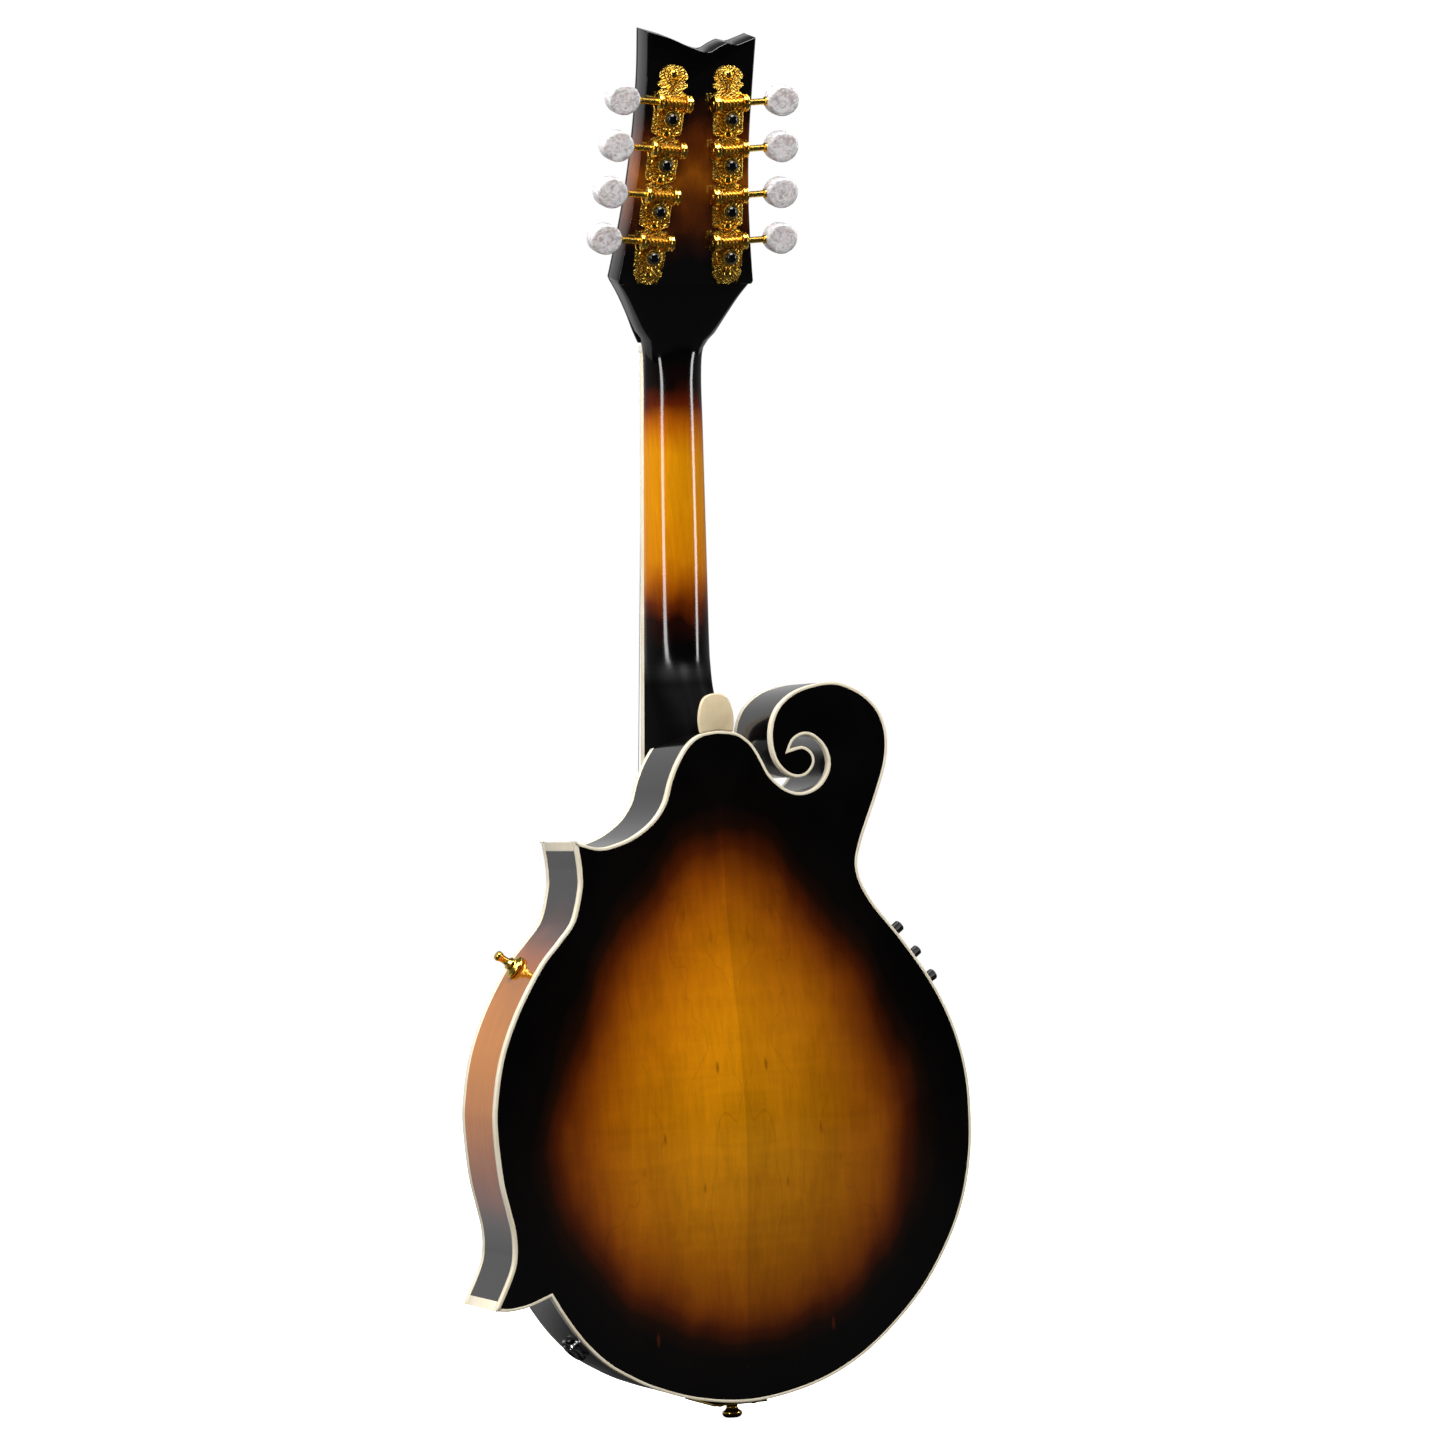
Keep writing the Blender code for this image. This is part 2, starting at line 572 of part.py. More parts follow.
def make_fingerboard(neck, finish):
    """The fingerboard with its frets standing on it, and the binding round it."""
    fret = 0.5
    profile = [(0.0, 0.0)]
    for number in range(1, FRET_COUNT + 1):
        z = -SCALE_LENGTH * (1 - 2 ** (-number / 12))
        profile += [(0.0, z + fret), (-1.0, z + fret), (-1.0, z - fret), (0.0, z - fret)]
    end = BOARD_END + BOARD_BINDING + GAP
    profile += [(0.0, end), (BOARD_THICKNESS, end), (BOARD_THICKNESS, 0.0)]
    board = prism(profile, -1.0, 1.0, "X")
    for vertex in board.verts:
        half = board_half(vertex.co.z) - BOARD_BINDING - GAP
        vertex.co.x = math.copysign(half, vertex.co.x)
    new_object("fingerboard", board, finish["ebony"], parent=neck)
    top, low = board_half(0), board_half(BOARD_END)
    rim = [(top, 0.0), (low, BOARD_END), (-low, BOARD_END), (-top, 0.0),
           (-top + BOARD_BINDING, 0.0), (-low + BOARD_BINDING, BOARD_END + BOARD_BINDING),
           (low - BOARD_BINDING, BOARD_END + BOARD_BINDING), (top - BOARD_BINDING, 0.0)]
    new_object("fingerboard_binding", prism(rim, 0.0, BOARD_THICKNESS), finish["binding"], parent=neck)


def worm_and_shaft():
    """A tuner key: the shaft, a single-start right-hand worm on it, and the button at its end."""
    segments = 8
    start = -WORM_TURNS * WORM_LEAD / 2
    bm = bmesh.new()

    def ring(radius, x, squash=1.0):
        return [bm.verts.new((x, radius * squash * math.sin(2 * math.pi * i / segments),
                              -radius * math.cos(2 * math.pi * i / segments))) for i in range(segments)]

    rows = int(2 * WORM_TURNS) - 1
    helix = []
    for row in range(rows):
        line = []
        for i in range(segments):
            turn = row / 2 + i / segments
            ramp = min(1.0, turn, rows / 2 - turn)
            crest = row % 2 == 1
            height = max(ramp, 0.0) if crest else 0.0
            radius = WORM_ROOT_RADIUS + (WORM_CREST_RADIUS - WORM_ROOT_RADIUS) * height
            angle = 2 * math.pi * i / segments
            line.append(bm.verts.new((start + (turn + 0.5) * WORM_LEAD, radius * math.sin(angle),
                                      -radius * math.cos(angle))))
        helix.append(line)
    for row in range(rows - 1):
        for i in range(segments - 1):
            bm.faces.new((helix[row][i], helix[row][i + 1], helix[row + 1][i + 1], helix[row + 1][i]))
        if row + 3 < rows:
            bm.faces.new((helix[row][-1], helix[row + 2][0], helix[row + 3][0], helix[row + 1][-1]))

    low = [(SHAFT_RADIUS, -8.6), (SHAFT_RADIUS, start - 0.3), (WORM_ROOT_RADIUS, start - 0.2)]
    rings = [ring(radius, x) for radius, x in low]
    bm.faces.new(rings[0])
    for lower, upper in zip(rings, rings[1:]):
        for i in range(segments):
            bm.faces.new((lower[i], lower[(i + 1) % segments], upper[(i + 1) % segments], upper[i]))
    last = rings[-1]
    for i in range(segments - 1):
        bm.faces.new((last[i], last[i + 1], helix[0][i + 1], helix[0][i]))
    bm.faces.new((last[-1], last[0], helix[0][0], helix[1][0], helix[2][0], helix[0][-1]))

    end = start + (rows / 2 + 0.5) * WORM_LEAD + 0.9
    high = [(WORM_ROOT_RADIUS, end, 1), (SHAFT_RADIUS, end + 0.1, 1), (SHAFT_RADIUS, BUTTON_REACH - 8.5, 1),
            (2.6, BUTTON_REACH - 8.0, 1), (5.4, BUTTON_REACH - 6.0, 0.6), (7.4, BUTTON_REACH - 2.2, 0.52),
            (7.7, BUTTON_REACH + 1.2, 0.5), (6.2, BUTTON_REACH + 5.2, 0.5), (3.2, BUTTON_REACH + 7.4, 0.6)]
    rings = [ring(radius, x, squash) for radius, x, squash in high]
    for lower, upper in zip(rings, rings[1:]):
        for i in range(segments):
            bm.faces.new((lower[i], lower[(i + 1) % segments], upper[(i + 1) % segments], upper[i]))
    bm.faces.new(rings[-1])
    first = rings[0]
    for i in range(segments - 1):
        bm.faces.new((helix[-1][i], helix[-1][i + 1], first[i + 1], first[i]))
    bm.faces.new((helix[-3][-1], helix[-1][0], first[0], first[-1], helix[-1][-1], helix[-2][-1]))
    return bm


def post_and_gear():
    """A string post with its gear and the cap that holds the gear on, along +Y from the head's front."""
    bm = bmesh.new()
    sides = 8
    low = GEAR_DEPTH - GEAR_THICKNESS / 2
    high = GEAR_DEPTH + GEAR_THICKNESS / 2
    worm_pitch_radius = (WORM_CREST_RADIUS + WORM_ROOT_RADIUS) / 2
    skew = 0.5 * GEAR_THICKNESS * WORM_LEAD / (2 * math.pi * worm_pitch_radius) / GEAR_PITCH_RADIUS

    def ring(radius, y):
        angles = [2 * math.pi * i / sides for i in range(sides)]
        return [bm.verts.new((radius * math.sin(angle), y, radius * math.cos(angle))) for angle in angles]

    def gear_ring(y, turn):
        line = []
        for i in range(2 * GEAR_TEETH):
            radius = GEAR_ROOT_RADIUS if i % 2 == 0 else GEAR_TIP_RADIUS
            angle = math.pi * i / GEAR_TEETH + turn
            line.append(bm.verts.new((radius * math.sin(angle), y, radius * math.cos(angle))))
        return line

    def wall(first, second):
        for i in range(len(first)):
            ahead = (i + 1) % len(first)
            bm.faces.new((first[i], first[ahead], second[ahead], second[i]))

    def shoulder(inner, outer):
        share = len(outer) // len(inner)
        for i in range(len(inner)):
            rim = [outer[(share * i + step) % len(outer)] for step in range(share + 1)]
            bm.faces.new([inner[(i + 1) % len(inner)], inner[i]] + rim)

    foot = ring(POST_RADIUS, POST_FRONT)
    under = ring(POST_RADIUS, low)
    near = gear_ring(low, -skew)
    far = gear_ring(high, skew)
    seat = ring(POST_RADIUS, high)
    brow = ring(POST_RADIUS, high + 0.8)
    crown = ring(2.0, high + 1.7)
    bm.faces.new(foot)
    wall(foot, under)
    shoulder(under, near)
    wall(near, far)
    shoulder(seat, far)
    wall(seat, brow)
    wall(brow, crown)
    bm.faces.new(crown)
    return bm


def tuner_plate_outline():
    """One long tuner plate, wide at each gear and narrow between, as (x, distance along the row)."""
    half = []
    for index in range(4):
        middle = -TUNER_PITCH * index + WORM_DISTANCE / 2
        half += [(8.6, middle + 7.6), (8.6, middle - 7.6)]
        if index < 3:
            half += [(6.4, middle - 9.2), (6.4, middle - 13.9)]
    top = [(0, 26.2), (4.2, 25.0), (6.6, 21.6), (6.6, 17.0), (6.4, 13.4)]
    foot = -3 * TUNER_PITCH
    bottom = [(6.4, foot - 5.2), (6.6, foot - 8.0), (6.6, foot - 11.0), (4.2, foot - 14.4), (0, foot - 15.6)]
    right = top + half + bottom
    return right + [(-x, along) for x, along in reversed(right[1:-1])]


def make_tuners(head, finish):
    """Two plates of four tuners: each a key with a worm that turns a geared string post."""
    plate_near = HEAD_BACK + GAP
    slant = math.atan(TUNER_SLANT)
    for side, side_name in ((1, "treble"), (-1, "bass")):
        row = datum("tuner_row_" + side_name, head, (side * TUNER_TOP_HALF, 0, TUNER_TOP),
                    (0, -side * slant, 0))
        plate = new_object("tuner_plate_" + side_name,
                           prism(tuner_plate_outline(), plate_near, plate_near + 1.0),
                           finish["gold"], parent=row)
        lugs = []
        bores = []
        for index in range(4):
            height = -TUNER_PITCH * index + WORM_DISTANCE
            for place in (-1, 1):
                x = place * 6.9
                lugs.append(box((x - 1.3, plate_near + 0.5, height - 2.7),
                                (x + 1.3, GEAR_DEPTH + 2.9, height + 2.7)))
            bores.append(moved(turned([(LUG_BORE, -12), (LUG_BORE, 12)], 10, "X"), (0, GEAR_DEPTH, height)))
            bores.append(moved(turned([(POST_RADIUS + 0.4, 15), (POST_RADIUS + 0.4, 21)], 10, "Y"),
                               (0, 0, -TUNER_PITCH * index)))
        combine(plate, "UNION", "lugs_" + side_name, merged(*lugs))
        combine(plate, "DIFFERENCE", "bearings_" + side_name, merged(*bores))
        for index in range(4):
            along = -TUNER_PITCH * index
            number = str(index + 1)
            post_home = datum("post_axis_" + side_name + number, row, (0, 0, along))
            new_object("tuner_post_" + side_name + "_" + number, post_and_gear(), finish["gold"],
                       parent=post_home)
            key_home = datum("key_axis_" + side_name + number, row, (0, GEAR_DEPTH, along + WORM_DISTANCE))
            key = worm_and_shaft()
            if side < 0:
                bmesh.ops.rotate(key, cent=(0, 0, 0), matrix=Matrix.Rotation(math.pi, 3, "Z"),
                                 verts=key.verts)
            new_object("tuner_key_" + side_name + "_" + number, key, finish["tuner"], parent=key_home)


def make_bridge(body, finish):
    """The bridge: a base that follows the top's arch, a saddle over it, and two thumbwheels between."""
    stations = [-56 + 8 * step for step in range(15)]
    under = [(x, -arch_height(x, BRIDGE_Z) - 0.7) for x in stations]
    over = [(56, -9.0), (48, -11.2), (38, -15.2), (-38, -15.2), (-48, -11.2), (-56, -9.0)]
    base = new_object("bridge_base", moved(prism(under + over, -5.0, 5.0, "Z"), (0, 0, BRIDGE_Z)),
                      finish["ebony"], parent=body)
    studs = merged(*[moved(turned([(1.5, -27.0), (1.5, -12.0)], 10, "Y"), (x, 0, BRIDGE_Z))
                     for x in (STUD_X, -STUD_X)])
    combine(base, "UNION", "bridge_studs", studs)
    top = STRING_BRIDGE_Y + 0.7
    profile = [(-48, -20.6), (-40, -19.3), (-30, -19.3), (-16, -20.4), (0, -20.8), (16, -20.4), (30, -19.3),
               (40, -19.3), (48, -20.6), (46, -23.5), (34, top + 0.6), (20, top), (-20, top),
               (-34, top + 0.6), (-46, -23.5)]
    saddle = new_object("bridge_saddle", moved(prism(profile, -3.2, 3.2, "Z"), (0, 0, BRIDGE_Z)),
                        finish["ebony"], parent=body)
    holes = merged(*[moved(turned([(1.9, -40.0), (1.9, -10.0)], 10, "Y"), (x, 0, BRIDGE_Z))
                     for x in (STUD_X, -STUD_X)])
    combine(saddle, "DIFFERENCE", "stud_holes", holes)
    for name, x in (("bridge_wheel_bass", -STUD_X), ("bridge_wheel_treble", STUD_X)):
        wheel = new_object(name, turned([(5.6, -1.0), (5.6, 1.0)], 16, "Y"), finish["gold"], parent=body,
                           location=(x, -17.75, BRIDGE_Z))
        combine(wheel, "DIFFERENCE", "bore_of_" + name, turned([(1.9, -4.0), (1.9, 4.0)], 10, "Y"))


def make_tailpiece(body, finish):
    """The string anchor hooked over the tail, its sliding cover, and the strap fittings."""
    side = [(-10.0, -448), (-8.7, -448), (-1.4, TAIL_Z - 0.6), (35, TAIL_Z - 0.6), (35, TAIL_Z - 1.9),
            (-2.8, TAIL_Z - 1.9)]
    base = new_object("tailpiece_base", prism(side, -14.5, 14.5, "X"), finish["gold"], parent=body)
    combine(base, "DIFFERENCE", "tab_bore", moved(turned([(3.4, -8), (3.4, 8)], 12), (0, BUTTON_Y, TAIL_Z)))
    hooks = [box((x - 0.7, -8.4, -495), (x + 0.7, -5.0, -491))
             for x in (-10.5, -7.5, -4.5, -1.5, 1.5, 4.5, 7.5, 10.5)]
    combine(base, "UNION", "string_hooks", merged(*hooks))
    shell = [(-17.2, 0), (-17.2, 0.8), (-14.5, 1), (14.5, 1), (17.2, 0.8), (17.2, 0), (16.0, 0), (16.0, 0.74),
             (13.9, 0.89), (-13.9, 0.89), (-16.0, 0.74), (-16.0, 0)]
    cover = prism(shell, COVER_TAIL, COVER_FRONT, "Z")
    for vertex in cover.verts:
        front = (vertex.co.z - COVER_TAIL) / (COVER_FRONT - COVER_TAIL)
        foot = -1.7 - 6.7 * front
        crown = -9.5 - 11.0 * front
        vertex.co.y = foot + (crown - foot) * vertex.co.y
    new_object("tailpiece_cover", cover, finish["gold"], parent=body)
    button = [(3.0, -534.2), (4.6, -533.2), (5.0, -532.2), (4.8, -531.0), (3.0, -529.9), (2.7, -528.2),
              (4.6, -527.0), (4.6, TAIL_Z - 2.2), (2.9, TAIL_Z - 2.2), (2.9, -508)]
    new_object("end_button", moved(turned(button, 14), (0, BUTTON_Y, 0)), finish["gold"], parent=body)
    outward = Vector((0.815, 0, 0.58)).normalized()
    pin = [(6.1, 0.4), (6.1, 1.6), (4.6, 3.0), (3.2, 3.2), (3.2, 5.0), (1.9, 5.6), (1.9, 9.6), (2.4, 10.4),
           (2.4, 11.8), (1.9, 12.7)]
    new_object("side_pin", aimed(turned(pin, 14), outward, (100.6, 15.5, -303.7)), finish["gold"],
               parent=body)


def make_electrics(body, finish):
    """The side preamp with its three knobs, the output jack and the disc pickup."""
    loop = [p for p in smooth_run(LOWER_BOUT, 5.0) if -335 < p.y < -283 and p.x < -70]
    ahead = [(b - a).normalized() for a, b in zip(loop, loop[1:])]
    ahead.append(ahead[-1])
    out = [Vector((-d.y, d.x)) for d in ahead]
    panel = [p + n * 1.4 for p, n in zip(loop, out)] + [p + n * 0.35 for p, n in zip(loop[::-1], out[::-1])]
    new_object("preamp_panel", prism(panel, 20.0, 42.0), finish["plastic"], parent=body)
    case = [p - n * 2.9 for p, n in zip(loop, out)] + [p - n * 24.0 for p, n in zip(loop[::-1], out[::-1])]
    new_object("preamp_box", prism(case, 20.5, 41.0), finish["plastic"], parent=body)
    for name, place, radius in (("knob_volume", (-94.3, -298.9), 2.9), ("knob_bass", (-103.6, -311.5), 2.6),
                                ("knob_treble", (-111.3, -323.7), 2.9)):
        nearest = min(range(len(loop)), key=lambda i: (loop[i] - Vector(place)).length)
        normal = Vector((out[nearest].x, 0, out[nearest].y))
        knob = turned([(radius, 0.0), (radius, 5.4), (radius - 0.6, 6.3)], 12)
        turn = Vector((0, 0, 1)).rotation_difference(normal).to_euler()
        foot = Vector((place[0], KNOB_Y, place[1])) + normal * 2.1
        new_object(name, knob, finish["plastic"], parent=body, location=foot, rotation=turn)

    jack = [(JACK_BARREL, -24.0), (JACK_BARREL, 0.8), (7.2, 0.8), (7.2, 1.9), (5.8, 2.1), (5.4, 3.6)]
    solid = turned(jack, 14)
    made = new_object("output_jack", aimed(solid, JACK_OUT, JACK_PLACE), finish["chrome"], parent=body)
    combine(made, "DIFFERENCE", "jack_bore",
            aimed(turned([(JACK_BORE, -22.0), (JACK_BORE, 9.0)], 12), JACK_OUT, JACK_PLACE))
    disc_y = PLATE_THICKNESS + 1.6 - arch_height(8, -372)
    new_object("pickup", moved(turned([(9.0, 0.0), (9.0, 1.2)], 16, "Y"), (8, disc_y, -372)),
               finish["brass"], parent=body)


def make_strings(body, finish):
    """Eight strings in four pairs, from the tuner posts over the nut and saddle to the tailpiece."""
    gauges = [0.30, 0.30, 0.38, 0.38, 0.66, 0.66, 1.00, 1.00]
    names = ["e_1", "e_2", "a_1", "a_2", "d_1", "d_2", "g_1", "g_2"]
    neck_lean = Matrix.Rotation(math.radians(-NECK_TILT), 3, "X")
    head_lean = Matrix.Rotation(math.radians(-NECK_TILT - HEAD_TILT), 3, "X")
    nut = Vector((0, NUT_DEPTH, 0))
    for index, (gauge, label) in enumerate(zip(gauges, names)):
        course = index // 2
        member = index % 2
        across = (1.5 - course) * 2
        at_nut = across * 4.0 + (1.1 if member == 0 else -1.1)
        at_bridge = across * 6.6 + (1.5 if member == 0 else -1.5)
        at_hook = 9.0 - 18.0 * index / 7
        side = 1 if index < 4 else -1
        slot = [3, 2, 1, 0][index] if index < 4 else [0, 1, 2, 3][index - 4]
        post_x, post_height = post_place(side, slot)
        radius = gauge / 2
        touch = POST_RADIUS + radius + 0.3
        on_post = nut + head_lean @ Vector((post_x - side * touch, -3.4, post_height))
        places = [on_post,
                  nut + neck_lean @ Vector((at_nut, -1.6 - radius - 0.35, 2.4)),
                  Vector((at_bridge, STRING_BRIDGE_Y - radius + 0.2, BRIDGE_Z)),
                  Vector((at_hook, -8.8 - radius, -490.2))]
        curve = bpy.data.curves.new("string_" + label, "CURVE")
        curve.dimensions = "3D"
        curve.bevel_depth = radius * MM
        curve.bevel_resolution = 1
        curve.use_fill_caps = True
        spline = curve.splines.new("POLY")
        spline.points.add(len(places) - 1)
        for point, place in zip(spline.points, places):
            point.co = (*(place * MM), 1.0)
        curve.materials.append(finish["bronze"])
        made = bpy.data.objects.new("string_" + label, curve)
        bpy.context.scene.collection.objects.link(made)
        made.parent = body


def main():
    for old in list(bpy.data.objects):
        bpy.data.objects.remove(old)
    finish = finishes()
    body = datum("body_datum", None, (0, -ORIGIN_DEPTH, 0))
    neck = datum("neck_datum", body, (0, NUT_DEPTH, 0), (math.radians(-NECK_TILT), 0, 0))
    head = datum("head_datum", neck, (0, 0, 0), (math.radians(-HEAD_TILT), 0, 0))
    make_body(body, finish)
    make_neck(body, neck, head, finish)
    make_tuners(head, finish)
    make_bridge(body, finish)
    make_tailpiece(body, finish)
    make_electrics(body, finish)
    make_strings(body, finish)
    bpy.context.view_layer.update()


main()
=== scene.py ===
import math

import bmesh
import bpy
from bpy.props import FloatProperty, FloatVectorProperty, IntProperty, PointerProperty
from mathutils import Matrix, Vector, geometry


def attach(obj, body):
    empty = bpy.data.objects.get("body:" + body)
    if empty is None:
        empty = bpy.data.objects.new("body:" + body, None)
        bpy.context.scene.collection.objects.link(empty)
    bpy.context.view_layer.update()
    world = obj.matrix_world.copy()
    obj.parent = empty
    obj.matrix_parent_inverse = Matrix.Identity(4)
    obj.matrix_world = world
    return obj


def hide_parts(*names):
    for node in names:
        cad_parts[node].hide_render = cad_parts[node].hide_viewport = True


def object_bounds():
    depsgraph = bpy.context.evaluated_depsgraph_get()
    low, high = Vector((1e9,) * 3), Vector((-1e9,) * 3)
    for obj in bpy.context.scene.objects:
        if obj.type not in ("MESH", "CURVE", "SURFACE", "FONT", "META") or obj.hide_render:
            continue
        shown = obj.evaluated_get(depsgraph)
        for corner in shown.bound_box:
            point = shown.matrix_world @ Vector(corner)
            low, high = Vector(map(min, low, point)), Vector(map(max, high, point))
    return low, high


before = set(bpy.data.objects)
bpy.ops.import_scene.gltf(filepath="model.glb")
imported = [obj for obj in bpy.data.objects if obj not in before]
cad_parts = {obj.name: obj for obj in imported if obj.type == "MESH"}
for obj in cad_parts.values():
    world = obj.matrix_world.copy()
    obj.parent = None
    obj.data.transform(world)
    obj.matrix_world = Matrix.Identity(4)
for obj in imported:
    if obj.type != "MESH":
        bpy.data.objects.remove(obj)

bl_info = {
    "name": "Scroll-bodied mandolin",
    "version": (1, 0, 0),
    "blender": (4, 5, 0),
    "location": "View3D > Sidebar > Mandolin",
    "description": "Builds the looks of a sunburst mandolin on its packed frame",
    "category": "Object",
}

STARTUP_OBJECTS = ("Cube", "Light", "Camera")
for startup_name in STARTUP_OBJECTS:
    if startup_name in bpy.data.objects:
        bpy.data.objects.remove(bpy.data.objects[startup_name])
CAD_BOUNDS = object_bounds()
MM = 0.001

# Driving dimensions, in millimetres. They are the frame's own, so every piece falls on its CAD node.
ORIGIN_DEPTH = 13.0
SCALE_LENGTH = 350.0
NECK_TILT = 4.84
HEAD_TILT = 12.45
NUT_DEPTH = 5.6
NUT_WIDTH = 30.0
RIM_DEPTH = 46.5
PLATE_THICKNESS = 4.0
PLATE_ARCH = 12.0
ARCH_CENTRE_Z = -385.0
ARCH_HALF_WIDTH = 118.0
ARCH_HALF_LENGTH = 132.0
BOARD_END = -257.0
BOARD_THICKNESS = 5.0
BOARD_TAPER = 0.0147
BOARD_BINDING = 1.2
FRET_COUNT = 22
HEAD_FRONT = 4.8
HEAD_BACK = 18.0
TUNER_PITCH = 23.1
TUNER_TOP = 122.0
TUNER_TOP_HALF = 16.0
TUNER_SLANT = math.atan(0.0696)
PLATE_BACK = 19.3
GEAR_DEPTH = 22.5
WORM_DISTANCE = 7.7
WORM_LEAD = 1.905
WORM_TURNS = 5.2
BUTTON_REACH = 27.0
BRIDGE_Z = -SCALE_LENGTH
STRING_BRIDGE_Y = -28.4
STRING_OVER_NUT = 1.15
STUD_X = 36.0
BUTTON_Y = 23.25
TAIL_Z = -524.7
TUNERS_PER_SIDE = 4
POST_BORE = 3.4
FACE_THICKNESS = 1.8

# Where the squares that carry a plate's arch are cut.
GRID_REACH = 120.0
GRID_TOP = -250.0
GRID_LENGTH = 272.0
GRID_NECK_END = -236.0

# The body's outline, seen from the front as (x, z). Each run is one smooth curve between two corners.
SHOULDER = [(0, -191.6), (9, -193), (16, -197.6), (22, -205.8), (26.6, -215.4), (30.2, -225.8),
            (36.4, -234.2), (46, -241), (55.4, -244.7), (66, -246.3), (78.5, -242.7)]
TREBLE_SIDE = [(78.5, -242.7), (77.2, -251.7), (76.7, -259.2), (77.2, -266.6), (81.5, -281.3),
               (89.5, -291.2), (99.6, -302.6), (112.8, -324.1), (121.9, -345.8), (126.4, -367.7),
               (127.1, -382.5), (125.4, -404.8), (122.4, -420), (120.2, -431), (120.1, -441.5),
               (122.4, -450.8), (131.2, -468)]
POINT_UNDERSIDE = [(131.2, -468), (124.6, -468.7), (119, -468.3), (112.8, -467.1), (102.2, -463.4)]
LOWER_BOUT = [(102.2, -463.4), (97, -472.4), (91.2, -481.2), (84.4, -489.8), (75.4, -498.6),
              (65.4, -505.4), (50, -513.4), (27, -521), (0, -524.3), (-27, -521), (-50.4, -513.3),
              (-72.2, -500.3), (-95, -479.8), (-110.8, -458.2), (-121.4, -436.6), (-127.2, -414.2),
              (-129, -391.6), (-127.8, -368.8), (-121.9, -345.6), (-110.8, -322.4), (-94.9, -299.5),
              (-79.2, -279.6), (-72.9, -264.8), (-75, -251.6), (-84.4, -229.4), (-90.4, -213.8),
              (-92.4, -203), (-91.8, -193.4), (-88, -184.2), (-80, -176.2), (-69, -170.8),
              (-60.5, -169.8), (-52.2, -170.9), (-44.3, -173.2), (-38, -176.8), (-33.2, -181.4),
              (-30.2, -186.8), (-28.7, -192.4), (-28.4, -198.2), (-29.3, -204.2), (-31.4, -209.3),
              (-34.6, -213.2), (-38.4, -215.8), (-42.6, -216.8), (-46.8, -216), (-50.2, -213.2),
              (-52, -209.6), (-51.6, -205.8), (-49.2, -202.9), (-45.4, -201.2), (-38.6, -202.6)]
SCROLL_SLOT = [(-38.6, -202.6), (-40.4, -199), (-43.2, -196.7), (-47, -195.6), (-51, -196.4),
               (-54.8, -199.3), (-57.9, -203.6), (-59.3, -208.8), (-58.6, -214), (-55.8, -218.8),
               (-51.7, -222.2), (-46.8, -224), (-41.8, -224.2), (-37.2, -222.8), (-32.9, -220.2),
               (-29.2, -216.8), (-26.1, -212.8), (-23.4, -207.4), (-20.4, -201.9), (-16.8, -197.4),
               (-10, -193), (0, -191.6)]
OUTLINE_RUNS = (SHOULDER, TREBLE_SIDE, POINT_UNDERSIDE, LOWER_BOUT, SCROLL_SLOT)
POINT_CAP_LENGTH = 5.5

# The headstock's outline in its own plane, as (x, height above the nut).
HEAD_FLARE = [(18, 6), (21.5, 12.5), (25.5, 21), (31, 31), (35.7, 38.2), (36.5, 39.8)]
HEAD_SIDE = [(36.5, 39.8), (35.2, 48), (32.8, 65), (30.4, 86), (28.7, 112), (28.4, 140), (29.6, 164)]
HEAD_TOP = [(29.6, 164), (17.5, 161), (7.5, 157.2), (-3, 154.2), (-8.5, 156.8), (-13.2, 158.9),
            (-17.6, 158), (-22, 159.4), (-28.4, 162)]

# The neck's sections, as (z, depth, squareness, half width at the back, or 0 for an even round).
NECK_SHAFT = [(-250, 5.6, 0.9, 0), (-215, 36.5, 0.42, 9.5), (-191, 35.5, 0.42, 9.5), (-182, 33.2, 0.44, 8.6),
              (-174, 28.5, 0.52, 8.8), (-167, 23.2, 0.64, 9.4), (-158, 19.0, 0.78, 11.4),
              (-146, 16.6, 0.93, 14.6), (-100, 15.6, 1, 0), (-40, 14.6, 1, 0), (-12, 14.2, 1, 0)]
HEAD_SECTIONS = [(5, 16.2, 0.85), (12.5, 21.0, 0.6), (21, 25.3, 0.42), (31, 30.8, 0.28), (38, 35.4, 0.18)]

# Where the body's datum, the neck's and the headstock's stand.
BODY_PLANE = Matrix.Translation((0, -ORIGIN_DEPTH, 0))
NECK_PLANE = (BODY_PLANE @ Matrix.Translation((0, NUT_DEPTH, 0))
              @ Matrix.Rotation(math.radians(-NECK_TILT), 4, "X"))
HEAD_PLANE = NECK_PLANE @ Matrix.Rotation(math.radians(-HEAD_TILT), 4, "X")
SIDES = ((1, "treble"), (-1, "bass"))


def row_plane(side):
    """Where one row of tuners stands: its origin is on the top post's axis."""
    return (HEAD_PLANE @ Matrix.Translation((side * TUNER_TOP_HALF, 0, TUNER_TOP))
            @ Matrix.Rotation(-side * TUNER_SLANT, 4, "Y"))


# ---------------------------------------------------------------- curves and outlines

def smooth_run(points, step):
    """A smooth curve through the points, about one point a step, without its last point."""
    ahead = [points[0]] + list(points) + [points[-1]]
    run = []
    for before, start, end, after in zip(ahead, ahead[1:], ahead[2:], ahead[3:]):
        before, start, end, after = Vector(before), Vector(start), Vector(end), Vector(after)
        pieces = max(1, round((end - start).length / step))
        for index in range(pieces):
            t = index / pieces
            run.append(0.5 * (2 * start + (end - before) * t
                              + (2 * before - 5 * start + 4 * end - after) * t * t
                              + (3 * start - before - 3 * end + after) * t * t * t))
    return run


def body_outline(step=1.8):
    """The body's edge as one closed loop of (x, z)."""
    loop = []
    for run in OUTLINE_RUNS:
        loop.extend(smooth_run(run, step))
    return loop


